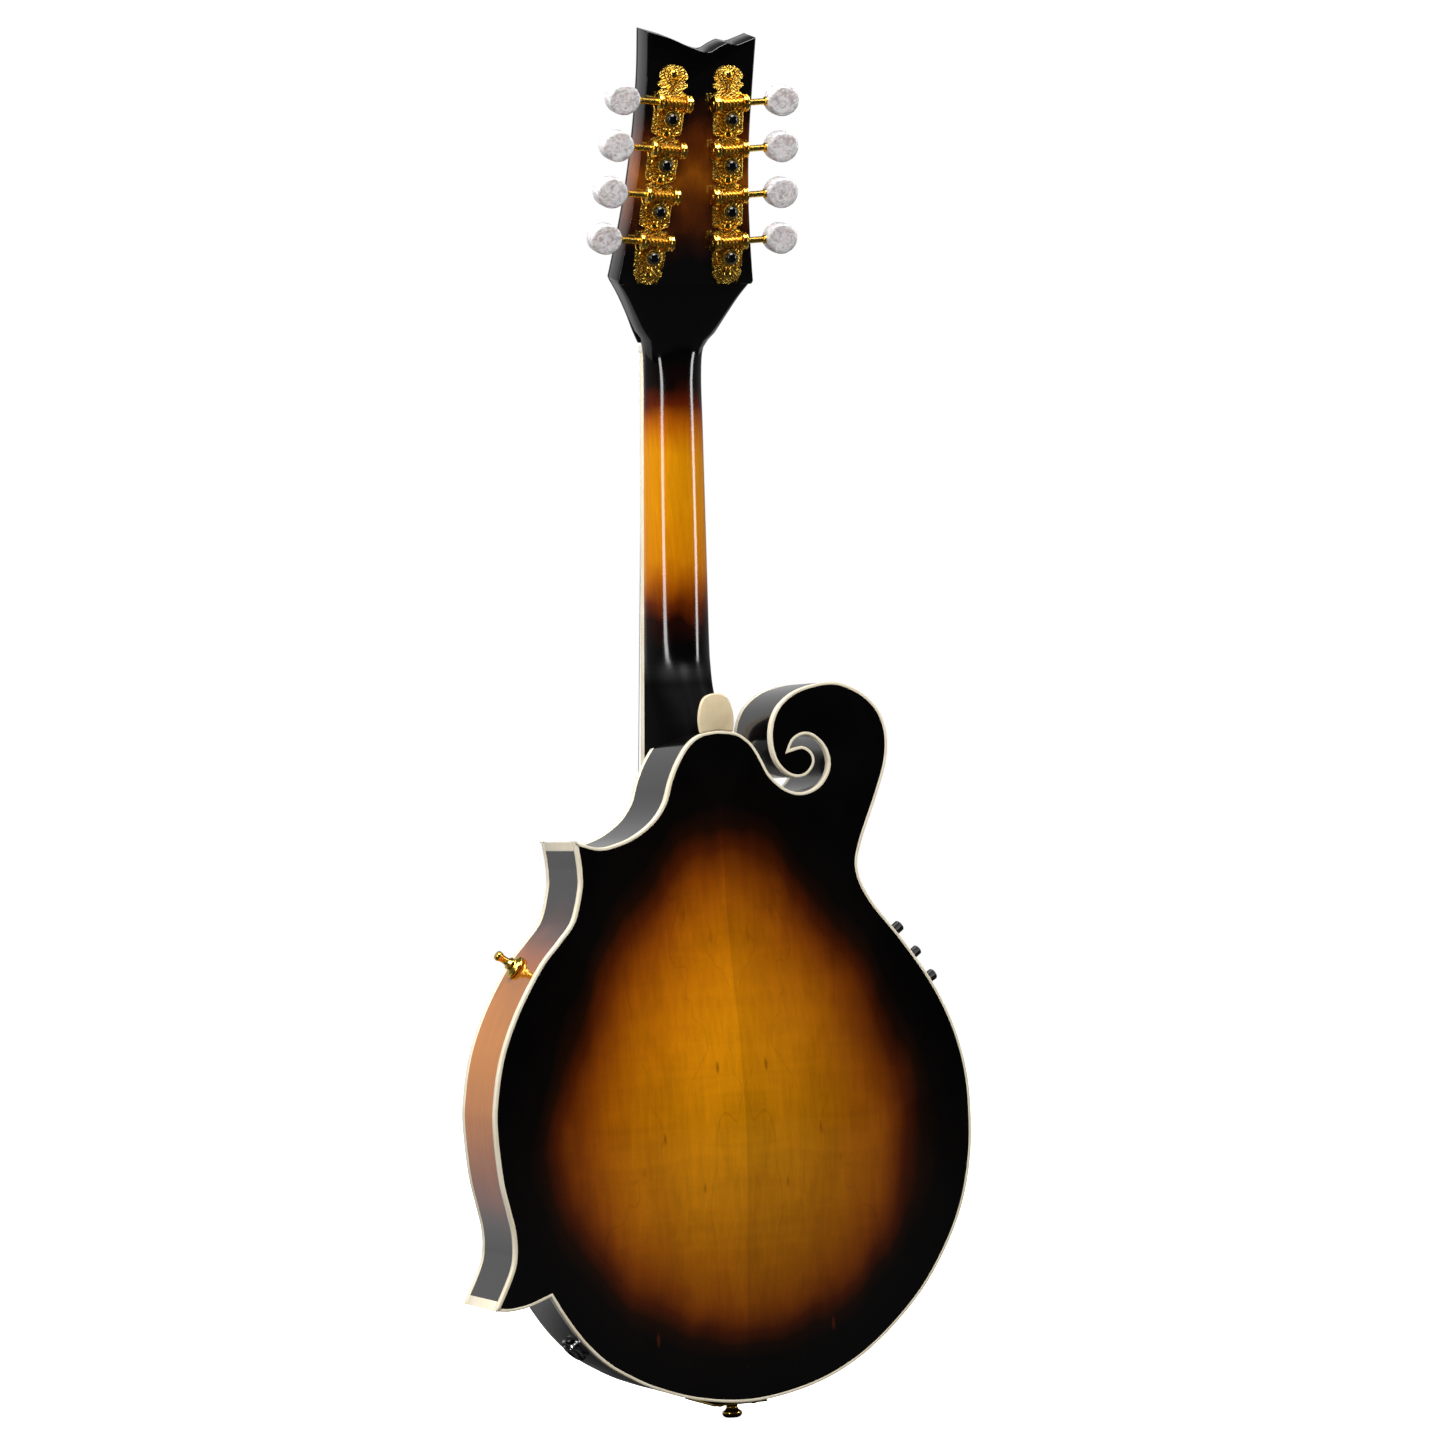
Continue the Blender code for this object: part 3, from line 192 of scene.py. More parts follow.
def arch_height(x, z):
    """How far a plate's arch stands above its edge."""
    radius = math.hypot(x / ARCH_HALF_WIDTH, (z - ARCH_CENTRE_Z) / ARCH_HALF_LENGTH)
    return PLATE_ARCH * (0.5 + 0.5 * math.cos(math.pi * min(radius, 1.0)))


def board_half(z):
    """Half the fingerboard's width at a place below the nut."""
    return NUT_WIDTH / 2 - BOARD_TAPER * z


def head_outline(low, step):
    """The headstock's edge from a height above the nut, as a closed loop of (x, height)."""
    flare = [point for point in HEAD_FLARE if point[1] >= low]
    loop = smooth_run(flare, step) if len(flare) > 1 else []
    loop += smooth_run(HEAD_SIDE, step) + smooth_run(HEAD_TOP, step)
    side = [(-x, height) for x, height in reversed(HEAD_SIDE[:-1])]
    loop += smooth_run([HEAD_TOP[-1]] + side, step)
    if len(flare) > 1:
        loop += smooth_run([(-x, height) for x, height in reversed(flare)], step)
    loop.append(Vector((-flare[0][0], flare[0][1])) if flare else Vector(side[-1]))
    return loop


def fret_place(number):
    """How far below the nut a fret stands."""
    return -SCALE_LENGTH * (1 - 2 ** (-number / 12))


# ---------------------------------------------------------------- mesh building

def verts_of(items):
    """The corners among an operator's results."""
    return [item for item in items if isinstance(item, bmesh.types.BMVert)]


def placed(bm, matrix):
    """The same bmesh, moved by a matrix."""
    bmesh.ops.transform(bm, matrix=matrix, verts=bm.verts)
    return bm


def shifted(bm, x=0.0, y=0.0, z=0.0):
    return placed(bm, Matrix.Translation((x, y, z)))


def towards(direction, place=(0, 0, 0)):
    """A matrix that turns +Z to a direction and then moves to a place."""
    turn = Vector((0, 0, 1)).rotation_difference(Vector(direction)).to_matrix().to_4x4()
    return Matrix.Translation(place) @ turn


def join(*parts):
    """Several bmeshes as one."""
    whole = bmesh.new()
    for part in parts:
        mesh = bpy.data.meshes.new("joined_part")
        part.to_mesh(mesh)
        part.free()
        whole.from_mesh(mesh)
        bpy.data.meshes.remove(mesh)
    return whole


def soften(bm, width, segments=2, angle=32.0):
    """Round every edge that is sharper than an angle."""
    bmesh.ops.recalc_face_normals(bm, faces=bm.faces)
    sharp = [e for e in bm.edges if len(e.link_faces) == 2 and e.calc_face_angle(0.0) > math.radians(angle)]
    bmesh.ops.bevel(bm, geom=sharp, offset=width, offset_type="OFFSET", affect="EDGES", segments=segments,
                    profile=0.5, material=-1, clamp_overlap=True)
    return bm


def flat_face(loop, depth=0.0):
    """A bmesh with one face through a loop of (x, z)."""
    bm = bmesh.new()
    bm.faces.new([bm.verts.new((p[0], depth, p[1])) for p in loop])
    bm.normal_update()
    return bm


def thicken(bm, thickness):
    """Extrude a flat sheet along +Y into a closed slab, and return the far side's corners."""
    swept = bmesh.ops.extrude_face_region(bm, geom=list(bm.faces))
    far = verts_of(swept["geom"])
    bmesh.ops.translate(bm, vec=(0, thickness, 0), verts=far)
    return far


def slab(loop, near, far, edge=0.0, segments=2):
    """A closed loop swept along Y between two depths, with rounded edges."""
    bm = flat_face(loop, near)
    thicken(bm, far - near)
    return soften(bm, edge, segments) if edge else bm


def bar(profile, low, high, edge=0.0, segments=2):
    """A loop of (y, z) swept along X between two places."""
    bm = slab([(p[0], p[1]) for p in profile], low, high, edge, segments)
    return placed(bm, Matrix(((0, 1, 0, 0), (1, 0, 0, 0), (0, 0, 1, 0), (0, 0, 0, 1))))


def block(low, high, edge=0.0, segments=2):
    """A block between two corners."""
    bm = bmesh.new()
    bmesh.ops.create_cube(bm, size=1.0)
    low, high = Vector(low), Vector(high)
    placed(bm, Matrix.Translation((low + high) / 2) @ Matrix.Diagonal((*(high - low), 1.0)))
    return soften(bm, edge, segments) if edge else bm


def turned(profile, segments=32):
    """A profile of (radius, along) spun about +Z."""
    bm = bmesh.new()
    verts = [bm.verts.new((radius, 0, along)) for radius, along in profile]
    edges = [bm.edges.new(pair) for pair in zip(verts, verts[1:])]
    bmesh.ops.spin(bm, geom=verts + edges, cent=(0, 0, 0), axis=(0, 0, 1), angle=2 * math.pi,
                   steps=segments, use_merge=True)
    bmesh.ops.remove_doubles(bm, verts=bm.verts, dist=0.0005)
    bmesh.ops.recalc_face_normals(bm, faces=bm.faces)
    return bm


def rod(radius, low, high, segments=24, edge=0.2):
    """A round rod along Z with softened ends."""
    return turned([(0, low), (radius - edge, low), (radius, low + edge), (radius, high - edge),
                   (radius - edge, high), (0, high)], segments)


def spiral(profile, lead, turns, steps=24):
    """A closed profile of (radius, along) wound about +Z into a thread."""
    bm = bmesh.new()
    face = bm.faces.new([bm.verts.new((radius, 0, along)) for radius, along in profile])
    count = round(turns * steps)
    bmesh.ops.spin(bm, geom=[face] + list(face.edges) + list(face.verts), cent=(0, 0, 0), axis=(0, 0, 1),
                   dvec=(0, 0, lead / steps), angle=2 * math.pi * turns, steps=count)
    bmesh.ops.recalc_face_normals(bm, faces=bm.faces)
    return bm


def lofted(sections):
    """A closed skin: the first ring of points extruded from section to section."""
    bm = bmesh.new()
    ring = [bm.verts.new(point) for point in sections[0]]
    bm.faces.new(ring)
    edges = [bm.edges.get(pair) for pair in zip(ring, ring[1:] + ring[:1])]
    for section in sections[1:]:
        swept = bmesh.ops.extrude_edge_only(bm, edges=edges)["geom"]
        fresh = {tuple(vert.co): vert for vert in verts_of(swept)}
        following = [fresh[tuple(vert.co)] for vert in ring]
        for vert, point in zip(following, section):
            vert.co = point
        ring = following
        edges = [bm.edges.get(pair) for pair in zip(ring, ring[1:] + ring[:1])]
    bm.faces.new(ring)
    bmesh.ops.recalc_face_normals(bm, faces=bm.faces)
    return bm


def smooth_rings(rings, step):
    """Rings of points with smooth rings added between them."""
    ahead = [rings[0]] + rings + [rings[-1]]
    made = []
    for before, start, end, after in zip(ahead, ahead[1:], ahead[2:], ahead[3:]):
        far = (Vector(end[len(end) // 2]) - Vector(start[len(start) // 2])).length
        pieces = max(1, round(far / step))
        for index in range(pieces):
            t = index / pieces
            made.append([0.5 * (2 * b + (c - a) * t + (2 * a - 5 * b + 4 * c - d) * t * t
                                + (3 * b - a - 3 * c + d) * t * t * t)
                         for a, b, c, d in zip(before, start, end, after)])
    made.append(list(rings[-1]))
    return made


def shaped_by(bm, operation, tool):
    """A bmesh joined with another or cut by it."""
    holders = []
    for part in (bm, tool):
        bmesh.ops.recalc_face_normals(part, faces=part.faces)
        mesh = bpy.data.meshes.new("shaping")
        part.to_mesh(mesh)
        part.free()
        holder = bpy.data.objects.new("shaping", mesh)
        bpy.context.scene.collection.objects.link(holder)
        holders.append(holder)
    modifier = holders[0].modifiers.new("shaping", "BOOLEAN")
    modifier.operation = operation
    modifier.solver = "EXACT"
    modifier.use_self = True
    modifier.object = holders[1]
    bpy.context.view_layer.update()
    evaluated = holders[0].evaluated_get(bpy.context.evaluated_depsgraph_get())
    result = bmesh.new()
    result.from_mesh(evaluated.to_mesh())
    evaluated.to_mesh_clear()
    for holder in holders:
        mesh = holder.data
        bpy.data.objects.remove(holder)
        bpy.data.meshes.remove(mesh)
    if not result.faces:
        raise RuntimeError("a cut left nothing of its piece")
    return result


def sweep(points, radius, sides=10):
    """A round wire along a line of points, with closed ends."""
    bm = bmesh.new()
    path = [Vector(point) for point in points]
    upright = Vector((0.0, 1.0, 0.03)).normalized()
    bmesh.ops.create_circle(bm, cap_ends=True, segments=sides, radius=radius)
    circle = [vert.co.copy() for vert in bm.verts]
    bm.free()
    rings = []
    for index, point in enumerate(path):
        along = (path[min(index + 1, len(path) - 1)] - path[max(index - 1, 0)]).normalized()
        across = along.cross(upright).normalized()
        other = across.cross(along)
        rings.append([point + across * p.x + other * p.y for p in circle])
    return lofted(rings)


def piece(name, bm, plane, body, finishes, stands_for=(), angle=35.0):
    """Make a finished piece: in metres, in its place, riding on its body."""
    placed(bm, Matrix.Scale(MM, 4) @ plane)
    bmesh.ops.recalc_face_normals(bm, faces=bm.faces)
    mesh = bpy.data.meshes.new(name)
    bm.to_mesh(mesh)
    bm.free()
    mesh.shade_smooth()
    mesh.set_sharp_from_angle(angle=math.radians(angle))
    made = bpy.data.objects.new(name, mesh)
    bpy.context.scene.collection.objects.link(made)
    for finish in finishes if isinstance(finishes, (list, tuple)) else [finishes]:
        mesh.materials.append(finish_for(finish))
    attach(made, body)
    if stands_for:
        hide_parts(*stands_for)
    return made


def painted(bm, index):
    """The same bmesh with every face on one material slot."""
    for face in bm.faces:
        face.material_index = index
    return bm


# ---------------------------------------------------------------- finishes

def linear(red, green, blue):
    """A screen colour, 0 to 255, as the shader's linear colour."""
    steps = (red / 255.0, green / 255.0, blue / 255.0)
    return (*[c / 12.92 if c <= 0.04045 else ((c + 0.055) / 1.055) ** 2.4 for c in steps], 1.0)


class Finish:
    """One material's nodes, with short ways to add and join them."""

    def __init__(self, name, roughness, metallic=0.0, **sockets):
        self.material = bpy.data.materials.new(name)
        self.material.use_nodes = True
        self.tree = self.material.node_tree
        self.shader = self.tree.nodes["Principled BSDF"]
        self.shader.inputs["Roughness"].default_value = roughness
        self.shader.inputs["Metallic"].default_value = metallic
        for socket, value in sockets.items():
            self.shader.inputs[socket.replace("_", " ")].default_value = value
        place = self.add("ShaderNodeTexCoord").outputs["Object"]
        self.place = self.scaled(place, 1.0 / MM)
        self.axes = self.add("ShaderNodeSeparateXYZ", {0: self.place}).outputs

    def add(self, kind, inputs=None, **settings):
        node = self.tree.nodes.new(kind)
        for setting, value in settings.items():
            setattr(node, setting, value)
        for socket, value in (inputs or {}).items():
            self.feed(node.inputs[socket], value)
        return node

    def feed(self, socket, value):
        if isinstance(value, bpy.types.NodeSocket):
            self.tree.links.new(value, socket)
        else:
            socket.default_value = value

    def math(self, operation, *values):
        return self.add("ShaderNodeMath", dict(enumerate(values)), operation=operation).outputs[0]

    def scaled(self, vector, scale):
        return self.add("ShaderNodeVectorMath", {0: vector, "Scale": scale}, operation="SCALE").outputs[0]

    def fade(self, value, low, high, start=0.0, end=1.0, curve="SMOOTHSTEP"):
        """A change from start to end as the value goes from low to high."""
        spans = {"Value": value, "From Min": low, "From Max": high, "To Min": start, "To Max": end}
        return self.add("ShaderNodeMapRange", spans, interpolation_type=curve).outputs[0]

    def wave(self, kind, direction, inputs):
        """Rings or bands of a wave along a direction."""
        settings = {"wave_type": kind, kind.lower() + "_direction": direction}
        return self.add("ShaderNodeTexWave", {"Vector": self.place, **inputs}, **settings).outputs["Fac"]

    def stretched(self, scales, place=None):
        node = self.add("ShaderNodeVectorMath", {0: place or self.place, 1: scales}, operation="MULTIPLY")
        return node.outputs[0]

    def noise(self, scales, detail=3.0, roughness=0.5, distortion=0.0, place=None):
        node = self.add("ShaderNodeTexNoise", {"Vector": self.stretched(scales, place), "Scale": 1.0,
                                               "Detail": detail, "Roughness": roughness,
                                               "Distortion": distortion})
        return node.outputs["Fac"]

    def ramp(self, value, stops):
        node = self.add("ShaderNodeValToRGB", {"Fac": value})
        elements = node.color_ramp.elements
        while len(elements) < len(stops):
            elements.new(0.5)
        for element, (position, colour) in zip(elements, stops):
            element.position = position
            element.color = colour
        return node.outputs["Color"]

    def mix(self, factor, first, second, blend="MIX"):
        node = self.add("ShaderNodeMix", {0: factor, 6: first, 7: second}, data_type="RGBA", blend_type=blend)
        return node.outputs[2]

    def colour(self, value):
        self.feed(self.shader.inputs["Base Color"], value)

    def gloss(self, value):
        self.feed(self.shader.inputs["Roughness"], value)

    def bump(self, height, depth, strength=1.0):
        """Raise the surface by a height pattern whose full range is a depth in millimetres."""
        node = self.add("ShaderNodeBump", {"Height": height, "Distance": depth * MM, "Strength": strength})
        self.tree.links.new(node.outputs["Normal"], self.shader.inputs["Normal"])


BLACK = (4, 3, 3)
LACQUER = {"Coat_Weight": 0.6, "Coat_Roughness": 0.04, "Specular_IOR_Level": 0.5}
# The sunburst's colours from its middle to its black edge, and how far out the last of them stands.
BURST_COLOURS = [(0.0, (202, 130, 4)), (0.3, (188, 116, 3)), (0.47, (172, 100, 2)), (0.59, (150, 80, 2)),
                 (0.68, (120, 56, 2)), (0.755, (70, 24, 1)), (0.815, (26, 8, 1)), (0.875, (5, 3, 2)),
                 (1.0, (3, 2, 2))]
BURST_SPAN = 1.28
finish_makers = {}
finishes_made = {}


def finish(maker):
    """Register a function that makes a finish, under the function's own name."""
    finish_makers[maker.__name__] = maker
    return maker


def finish_for(name):
    """The material of a finish, made the first time that it is asked for."""
    if name not in finishes_made:
        finishes_made[name] = finish_makers[name]().material
    return finishes_made[name]


def burst_radius(made, settings):
    """0 at the middle of the sunburst, 1 on its edge: a teardrop that narrows towards the neck."""
    across = made.math("DIVIDE", made.math("ABSOLUTE", made.axes["X"]), settings.burst_half_width / MM)
    rise = made.math("SUBTRACT", made.axes["Z"], ARCH_CENTRE_Z - 10.0)
    above = made.math("MAXIMUM", made.math("DIVIDE", rise, settings.burst_above / MM), 0.0)
    below = made.math("MAXIMUM", made.math("DIVIDE", rise, -settings.burst_below / MM), 0.0)
    halves = []
    for reach, power in ((above, 1.5), (below, 2.0)):
        both = made.math("ADD", made.math("POWER", across, power), made.math("POWER", reach, power))
        halves.append(made.math("POWER", both, 1 / power))
    return made.math("MAXIMUM", *halves)


def coloured(stops):
    """A ramp's stops with their screen colours made linear."""
    return [(place, linear(*colour)) for place, colour in stops]

def burst_wood(name, halves, figure_scale):
    """A bookmatched plate under a sunburst lacquer, with painted light: one half is painted brighter than the
    other.
    """
    settings = bpy.context.scene.mandolin_body
    made = Finish(name, 0.16, **LACQUER)
    wander = made.noise((0.03, 0.03, 0.012), 2.0)
    radius = made.math("ADD", burst_radius(made, settings), made.fade(wander, 0.3, 0.7, -0.035, 0.035))
    burst = made.ramp(made.math("DIVIDE", radius, BURST_SPAN), coloured(BURST_COLOURS))
    mirrored = made.add("ShaderNodeCombineXYZ", {0: made.math("ABSOLUTE", made.axes["X"]), 1: made.axes["Y"],
                                                 2: made.axes["Z"]}).outputs[0]
    grain = made.noise((figure_scale, 0.4, 0.03), 4.0, 0.65, 0.4, mirrored)
    pores = made.noise((3.2, 3.2, 0.9), 3.0, 0.6, 0.0, mirrored)
    cloud = made.noise((0.035, 0.035, 0.02), 3.0, 0.5, 0.8, mirrored)
    figure = made.noise((0.02, 0.05, 0.11), 2.0, 0.5, 1.2, mirrored)
    shade = made.fade(grain, 0.3, 0.7, 0.90, 1.06)
    for pattern, low, high, depths in ((pores, 0.25, 0.75, (-0.05, 0.05)), (cloud, 0.3, 0.7, (-0.09, 0.07)),
                                       (figure, 0.35, 0.65, (-0.035, 0.035))):
        shade = made.math("ADD", shade, made.fade(pattern, low, high, *depths))
    # Painted light: the bass and the treble half get their own brightness, as if the lamps fell more strongly
    # on the treble half.
    treble_side_painted_light = made.fade(made.axes["X"], -0.12, 0.12, *halves)
    shade = made.math("MULTIPLY", shade, treble_side_painted_light)
    growth = made.math("ADD", made.math("MULTIPLY", made.math("ABSOLUTE", made.axes["X"]), 0.055),
                       made.math("MULTIPLY", made.noise((0.02, 0.02, 0.006), 3.0, 0.5, 0.5, mirrored), 5.5))
    line = made.math("ABSOLUTE", made.math("SUBTRACT", made.math("FRACT", growth), 0.5))
    line = made.fade(line, 0.0, 0.022, 0.84, 1.0)
    shade = made.math("MULTIPLY", shade, line)
    wood = made.scaled(burst, shade)
    fleck = made.add("ShaderNodeTexVoronoi", {"Vector": made.stretched((0.062, 0.062, 0.016), mirrored),
                                              "Scale": 1.0, "Randomness": 1.0}, feature="F1")
    spot = made.fade(fleck.outputs["Distance"], 0.020, 0.075, 1.0, 0.0)
    wood = made.mix(made.math("MULTIPLY", spot, 0.55), wood, linear(88, 30, 4))
    made.colour(wood)
    made.gloss(made.fade(cloud, 0.3, 0.7, 0.13, 0.20))
    made.bump(made.math("ADD", made.math("MULTIPLY", pores, 0.4), grain), 0.012, 0.25)
    return made


@finish
def sunburst_back():
    # Painted light: the treble half of the back is painted much brighter than the bass half.
    return burst_wood("sunburst_back", (0.98, 1.22), 0.35)


@finish
def sunburst_front():
    # Painted light: the treble half of the top is painted a little brighter than the bass half.
    return burst_wood("sunburst_front", (0.98, 1.03), 1.1)


@finish
def rib_lacquer():
    """Amber on the widest part of the ribs and black towards the neck and the tail."""
    made = Finish("rib_lacquer", 0.15, **LACQUER)
    sway = made.noise((0.02, 0.02, 0.02), 2.0)
    level = made.math("ADD", made.axes["Z"], made.fade(sway, 0.3, 0.7, -6.0, 6.0))
    place = made.fade(level, -440.0, -270.0, curve="LINEAR")
    bands = [(0.0, BLACK), (0.06, (52, 18, 4)), (0.12, (122, 50, 6)), (0.21, (150, 74, 7)),
             (0.34, (182, 102, 9)), (0.55, (187, 111, 10)), (0.75, (160, 93, 12)), (0.86, (128, 62, 8)),
             (0.93, (52, 16, 4)), (1.0, BLACK)]
    burst = made.ramp(place, coloured(bands))
    grain = made.noise((0.03, 1.5, 0.03), 4.0, 0.6, 0.3)
    fine = made.noise((2.0, 4.0, 2.0), 2.0, 0.6)
    shade = made.math("ADD", made.fade(grain, 0.3, 0.7, 0.86, 1.1), made.fade(fine, 0.3, 0.7, -0.04, 0.04))
    made.colour(made.scaled(burst, shade))
    made.gloss(made.fade(sway, 0.3, 0.7, 0.10, 0.17))
    made.bump(grain, 0.01, 0.25)
    return made


@finish
def neck_lacquer():
    """Amber along the neck and the headstock, black where they meet and at the heel, which is duller."""
    made = Finish("neck_lacquer", 0.13, **LACQUER)
    sway = made.noise((0.05, 0.05, 0.03), 2.0)
    level = made.math("ADD", made.axes["Z"], made.fade(sway, 0.3, 0.7, -3.5, 3.5))
    low, high = -150.0, 130.0
    place = made.fade(level, low, high, curve="LINEAR")
    bands = [(-147, BLACK), (-137, (30, 7, 2)), (-128, (96, 36, 3)), (-118, (160, 82, 3)),
             (-106, (203, 122, 4)), (-80, (214, 136, 5)), (-52, (213, 136, 5)), (-42, (196, 114, 4)),
             (-33, (160, 80, 3)), (-25, (84, 25, 2)), (-17, (14, 5, 3)), (-8, BLACK), (42, BLACK),
             (54, (46, 16, 3)), (66, (88, 38, 4)), (84, (142, 76, 5)), (98, (98, 42, 3)), (109, (44, 14, 2)),
             (118, BLACK)]
    burst = made.ramp(place, coloured([((z - low) / (high - low), colour) for z, colour in bands]))
    grain = made.noise((0.7, 0.7, 0.02), 4.0, 0.6, 0.3)
    fine = made.noise((3.0, 3.0, 0.8), 2.0, 0.6)
    shade = made.math("ADD", made.fade(grain, 0.3, 0.7, 0.9, 1.08), made.fade(fine, 0.3, 0.7, -0.04, 0.04))
    made.colour(made.scaled(burst, shade))
    dulling = made.fade(made.axes["Z"], -168.0, -150.0, 0.4, 0.0)
    made.gloss(made.math("ADD", made.fade(sway, 0.3, 0.7, 0.09, 0.15), dulling))
    made.feed(made.shader.inputs["Coat Roughness"], made.math("ADD", dulling, LACQUER["Coat_Roughness"]))
    for socket, at_heel in (("Coat_Weight", 0.0), ("Specular_IOR_Level", 0.03)):
        level = made.fade(made.axes["Z"], -168.0, -148.0, at_heel, LACQUER[socket])
        made.feed(made.shader.inputs[socket.replace("_", " ")], level)
    made.bump(grain, 0.01, 0.25)
    return made


def mottled(name, first, second, scale, roughness, depth=0.02, metallic=0.0, **sockets):
    """A finish that wanders between two colours, with a faint unevenness."""
    made = Finish(name, roughness, metallic, **sockets)
    cloud = made.noise((scale,) * 3, 4.0, 0.6, 0.5)
    fine = made.noise((scale * 9,) * 3, 2.0, 0.6)
    made.colour(made.mix(made.fade(cloud, 0.3, 0.7), linear(*first), linear(*second)))
    made.gloss(made.fade(made.math("ADD", cloud, made.math("MULTIPLY", fine, 0.5)), 0.4, 1.1,
                         roughness * 0.8, roughness * 1.3))
    made.bump(fine, depth, 0.4)
    return made


@finish
def cream_binding():
    return mottled("cream_binding", (238, 229, 205), (228, 214, 186), 0.06, 0.22, 0.01, Coat_Weight=0.4)


@finish
def heel_cream():
    return mottled("heel_cream", (221, 203, 168), (206, 186, 148), 0.05, 0.2, 0.01, Coat_Weight=0.5)


@finish
def black_lacquer():
    return mottled("black_lacquer", (5, 4, 4), (9, 8, 8), 0.05, 0.1, 0.01, **LACQUER)


@finish
def black_plastic():
    return mottled("black_plastic", (11, 11, 12), (19, 19, 20), 0.4, 0.34, 0.03)


@finish
def gold_plain():
    return mottled("gold_plain", (255, 220, 108), (248, 200, 80), 0.15, 0.16, 0.01, 1.0)


@finish
def gold_worn():
    return mottled("gold_worn", (255, 218, 104), (236, 180, 72), 0.5, 0.24, 0.02, 1.0)


@finish
def chrome():
    return mottled("chrome", (222, 222, 226), (204, 204, 210), 0.2, 0.12, 0.01, 1.0)


@finish
def nickel_wire():
    return mottled("nickel_wire", (214, 210, 202), (188, 182, 172), 0.4, 0.2, 0.01, 1.0)


@finish
def brushed_steel():
    made = mottled("brushed_steel", (170, 170, 174), (142, 142, 146), 0.3, 0.32, 0.02, 1.0)
    made.bump(made.noise((6.0, 6.0, 0.3), 3.0), 0.02, 0.5)
    return made


@finish
def brass_disc():
    return mottled("brass_disc", (214, 178, 104), (184, 144, 72), 0.5, 0.34, 0.02, 1.0)


@finish
def bone():
    made = mottled("bone", (236, 232, 220), (216, 210, 192), 0.3, 0.32, 0.02)
    made.bump(made.noise((0.5, 3.0, 3.0), 3.0), 0.02, 0.4)
    return made


@finish
def pearl_button():
    """Swirled white and grey pearl plastic."""
    made = Finish("pearl_button", 0.12, Coat_Weight=0.6, Coat_Roughness=0.05, Subsurface_Weight=0.08)
    swirl = made.noise((0.22, 0.22, 0.3), 5.0, 0.62, 2.2)
    cells = made.add("ShaderNodeTexVoronoi", {"Vector": made.stretched((0.42, 0.42, 0.3)), "Scale": 1.0})
    flake = cells.outputs["Distance"]
    tone = made.math("ADD", made.fade(swirl, 0.32, 0.68), made.fade(flake, 0.1, 0.7, -0.16, 0.16))
    made.colour(made.ramp(tone, coloured([(0.0, (178, 174, 174)), (0.35, (206, 202, 202)),
                                          (0.62, (224, 221, 222)), (1.0, (240, 238, 240))])))
    made.gloss(made.fade(swirl, 0.3, 0.7, 0.08, 0.2))
    made.bump(made.math("ADD", swirl, flake), 0.05, 0.25)
    return made


@finish
def engraved_gold():
    """Gold plate cut with running scrolls, with painted shade: the cuts are a darker gold than the raised
    scrolls.
    """
    made = Finish("engraved_gold", 0.2, 1.0)
    bend = made.wave("RINGS", "Y", {"Scale": 0.21, "Distortion": 9.0, "Detail": 1.5, "Detail Scale": 0.7,
                                    "Detail Roughness": 0.4})
    curl = made.wave("BANDS", "DIAGONAL", {"Scale": 0.33, "Distortion": 12.0, "Detail": 1.0,
                                           "Detail Scale": 0.4, "Phase Offset": 1.7})
    curl = made.math("MULTIPLY", made.fade(curl, 0.3, 0.7), 0.7)
    relief = made.math("ADD", made.fade(bend, 0.25, 0.75), curl)
    # Painted shade: where the relief is low, in the cuts of the engraving, the gold is darker.
    cut_shade = made.fade(relief, 0.2, 1.2)
    made.colour(made.mix(cut_shade, linear(206, 146, 40), linear(255, 224, 112)))
    made.gloss(made.fade(relief, 0.0, 1.5, 0.34, 0.13))
    made.bump(relief, 0.35, 0.85)
    return made


@finish
def rosewood():
    """Dark open-grained wood."""
    made = Finish("rosewood", 0.42)
    grain = made.noise((1.6, 1.6, 0.06), 5.0, 0.7, 0.4)
    pores = made.noise((5.0, 5.0, 0.35), 2.0, 0.7)
    made.colour(made.mix(made.fade(grain, 0.3, 0.7), linear(30, 20, 16), linear(62, 42, 32)))
    made.gloss(made.fade(pores, 0.3, 0.7, 0.36, 0.55))
    made.bump(pores, 0.05, 0.4)
    return made


@finish
def bare_spruce():
    """Pale straight-grained wood, unfinished."""
    made = Finish("bare_spruce", 0.72)
    lines = made.wave("BANDS", "X", {"Vector": made.stretched((0.9, 0.25, 0.01)), "Scale": 0.5,
                                     "Distortion": 1.4, "Detail": 2.0})
    fine = made.noise((3.0, 3.0, 0.3), 3.0, 0.6)
    made.colour(made.mix(lines, linear(214, 184, 138), linear(190, 150, 100)))
    made.gloss(made.fade(fine, 0.3, 0.7, 0.64, 0.82))
    made.bump(fine, 0.05, 0.5)
    return made


@finish
def plain_string():
    return mottled("plain_string", (214, 212, 208), (190, 188, 184), 0.4, 0.22, 0.01, 1.0)


@finish
def wound_string():
    """Wire wrapped round a core: fine turns across the string, with painted shade in the grooves between
    them.
    """
    made = Finish("wound_string", 0.3, 1.0)
    turns = made.wave("BANDS", "Z", {"Scale": 0.9})
    # Painted shade: the grooves between the turns are a darker bronze than the crests.
    made.colour(made.mix(turns, linear(150, 112, 72), linear(216, 176, 124)))
    made.gloss(made.fade(turns, 0.0, 1.0, 0.42, 0.24))
    made.bump(turns, 0.08, 0.8)
    return made


@finish
def dark_bore():
    return mottled("dark_bore", (12, 11, 11), (22, 20, 19), 0.8, 0.6, 0.03)


# ---------------------------------------------------------------- settings

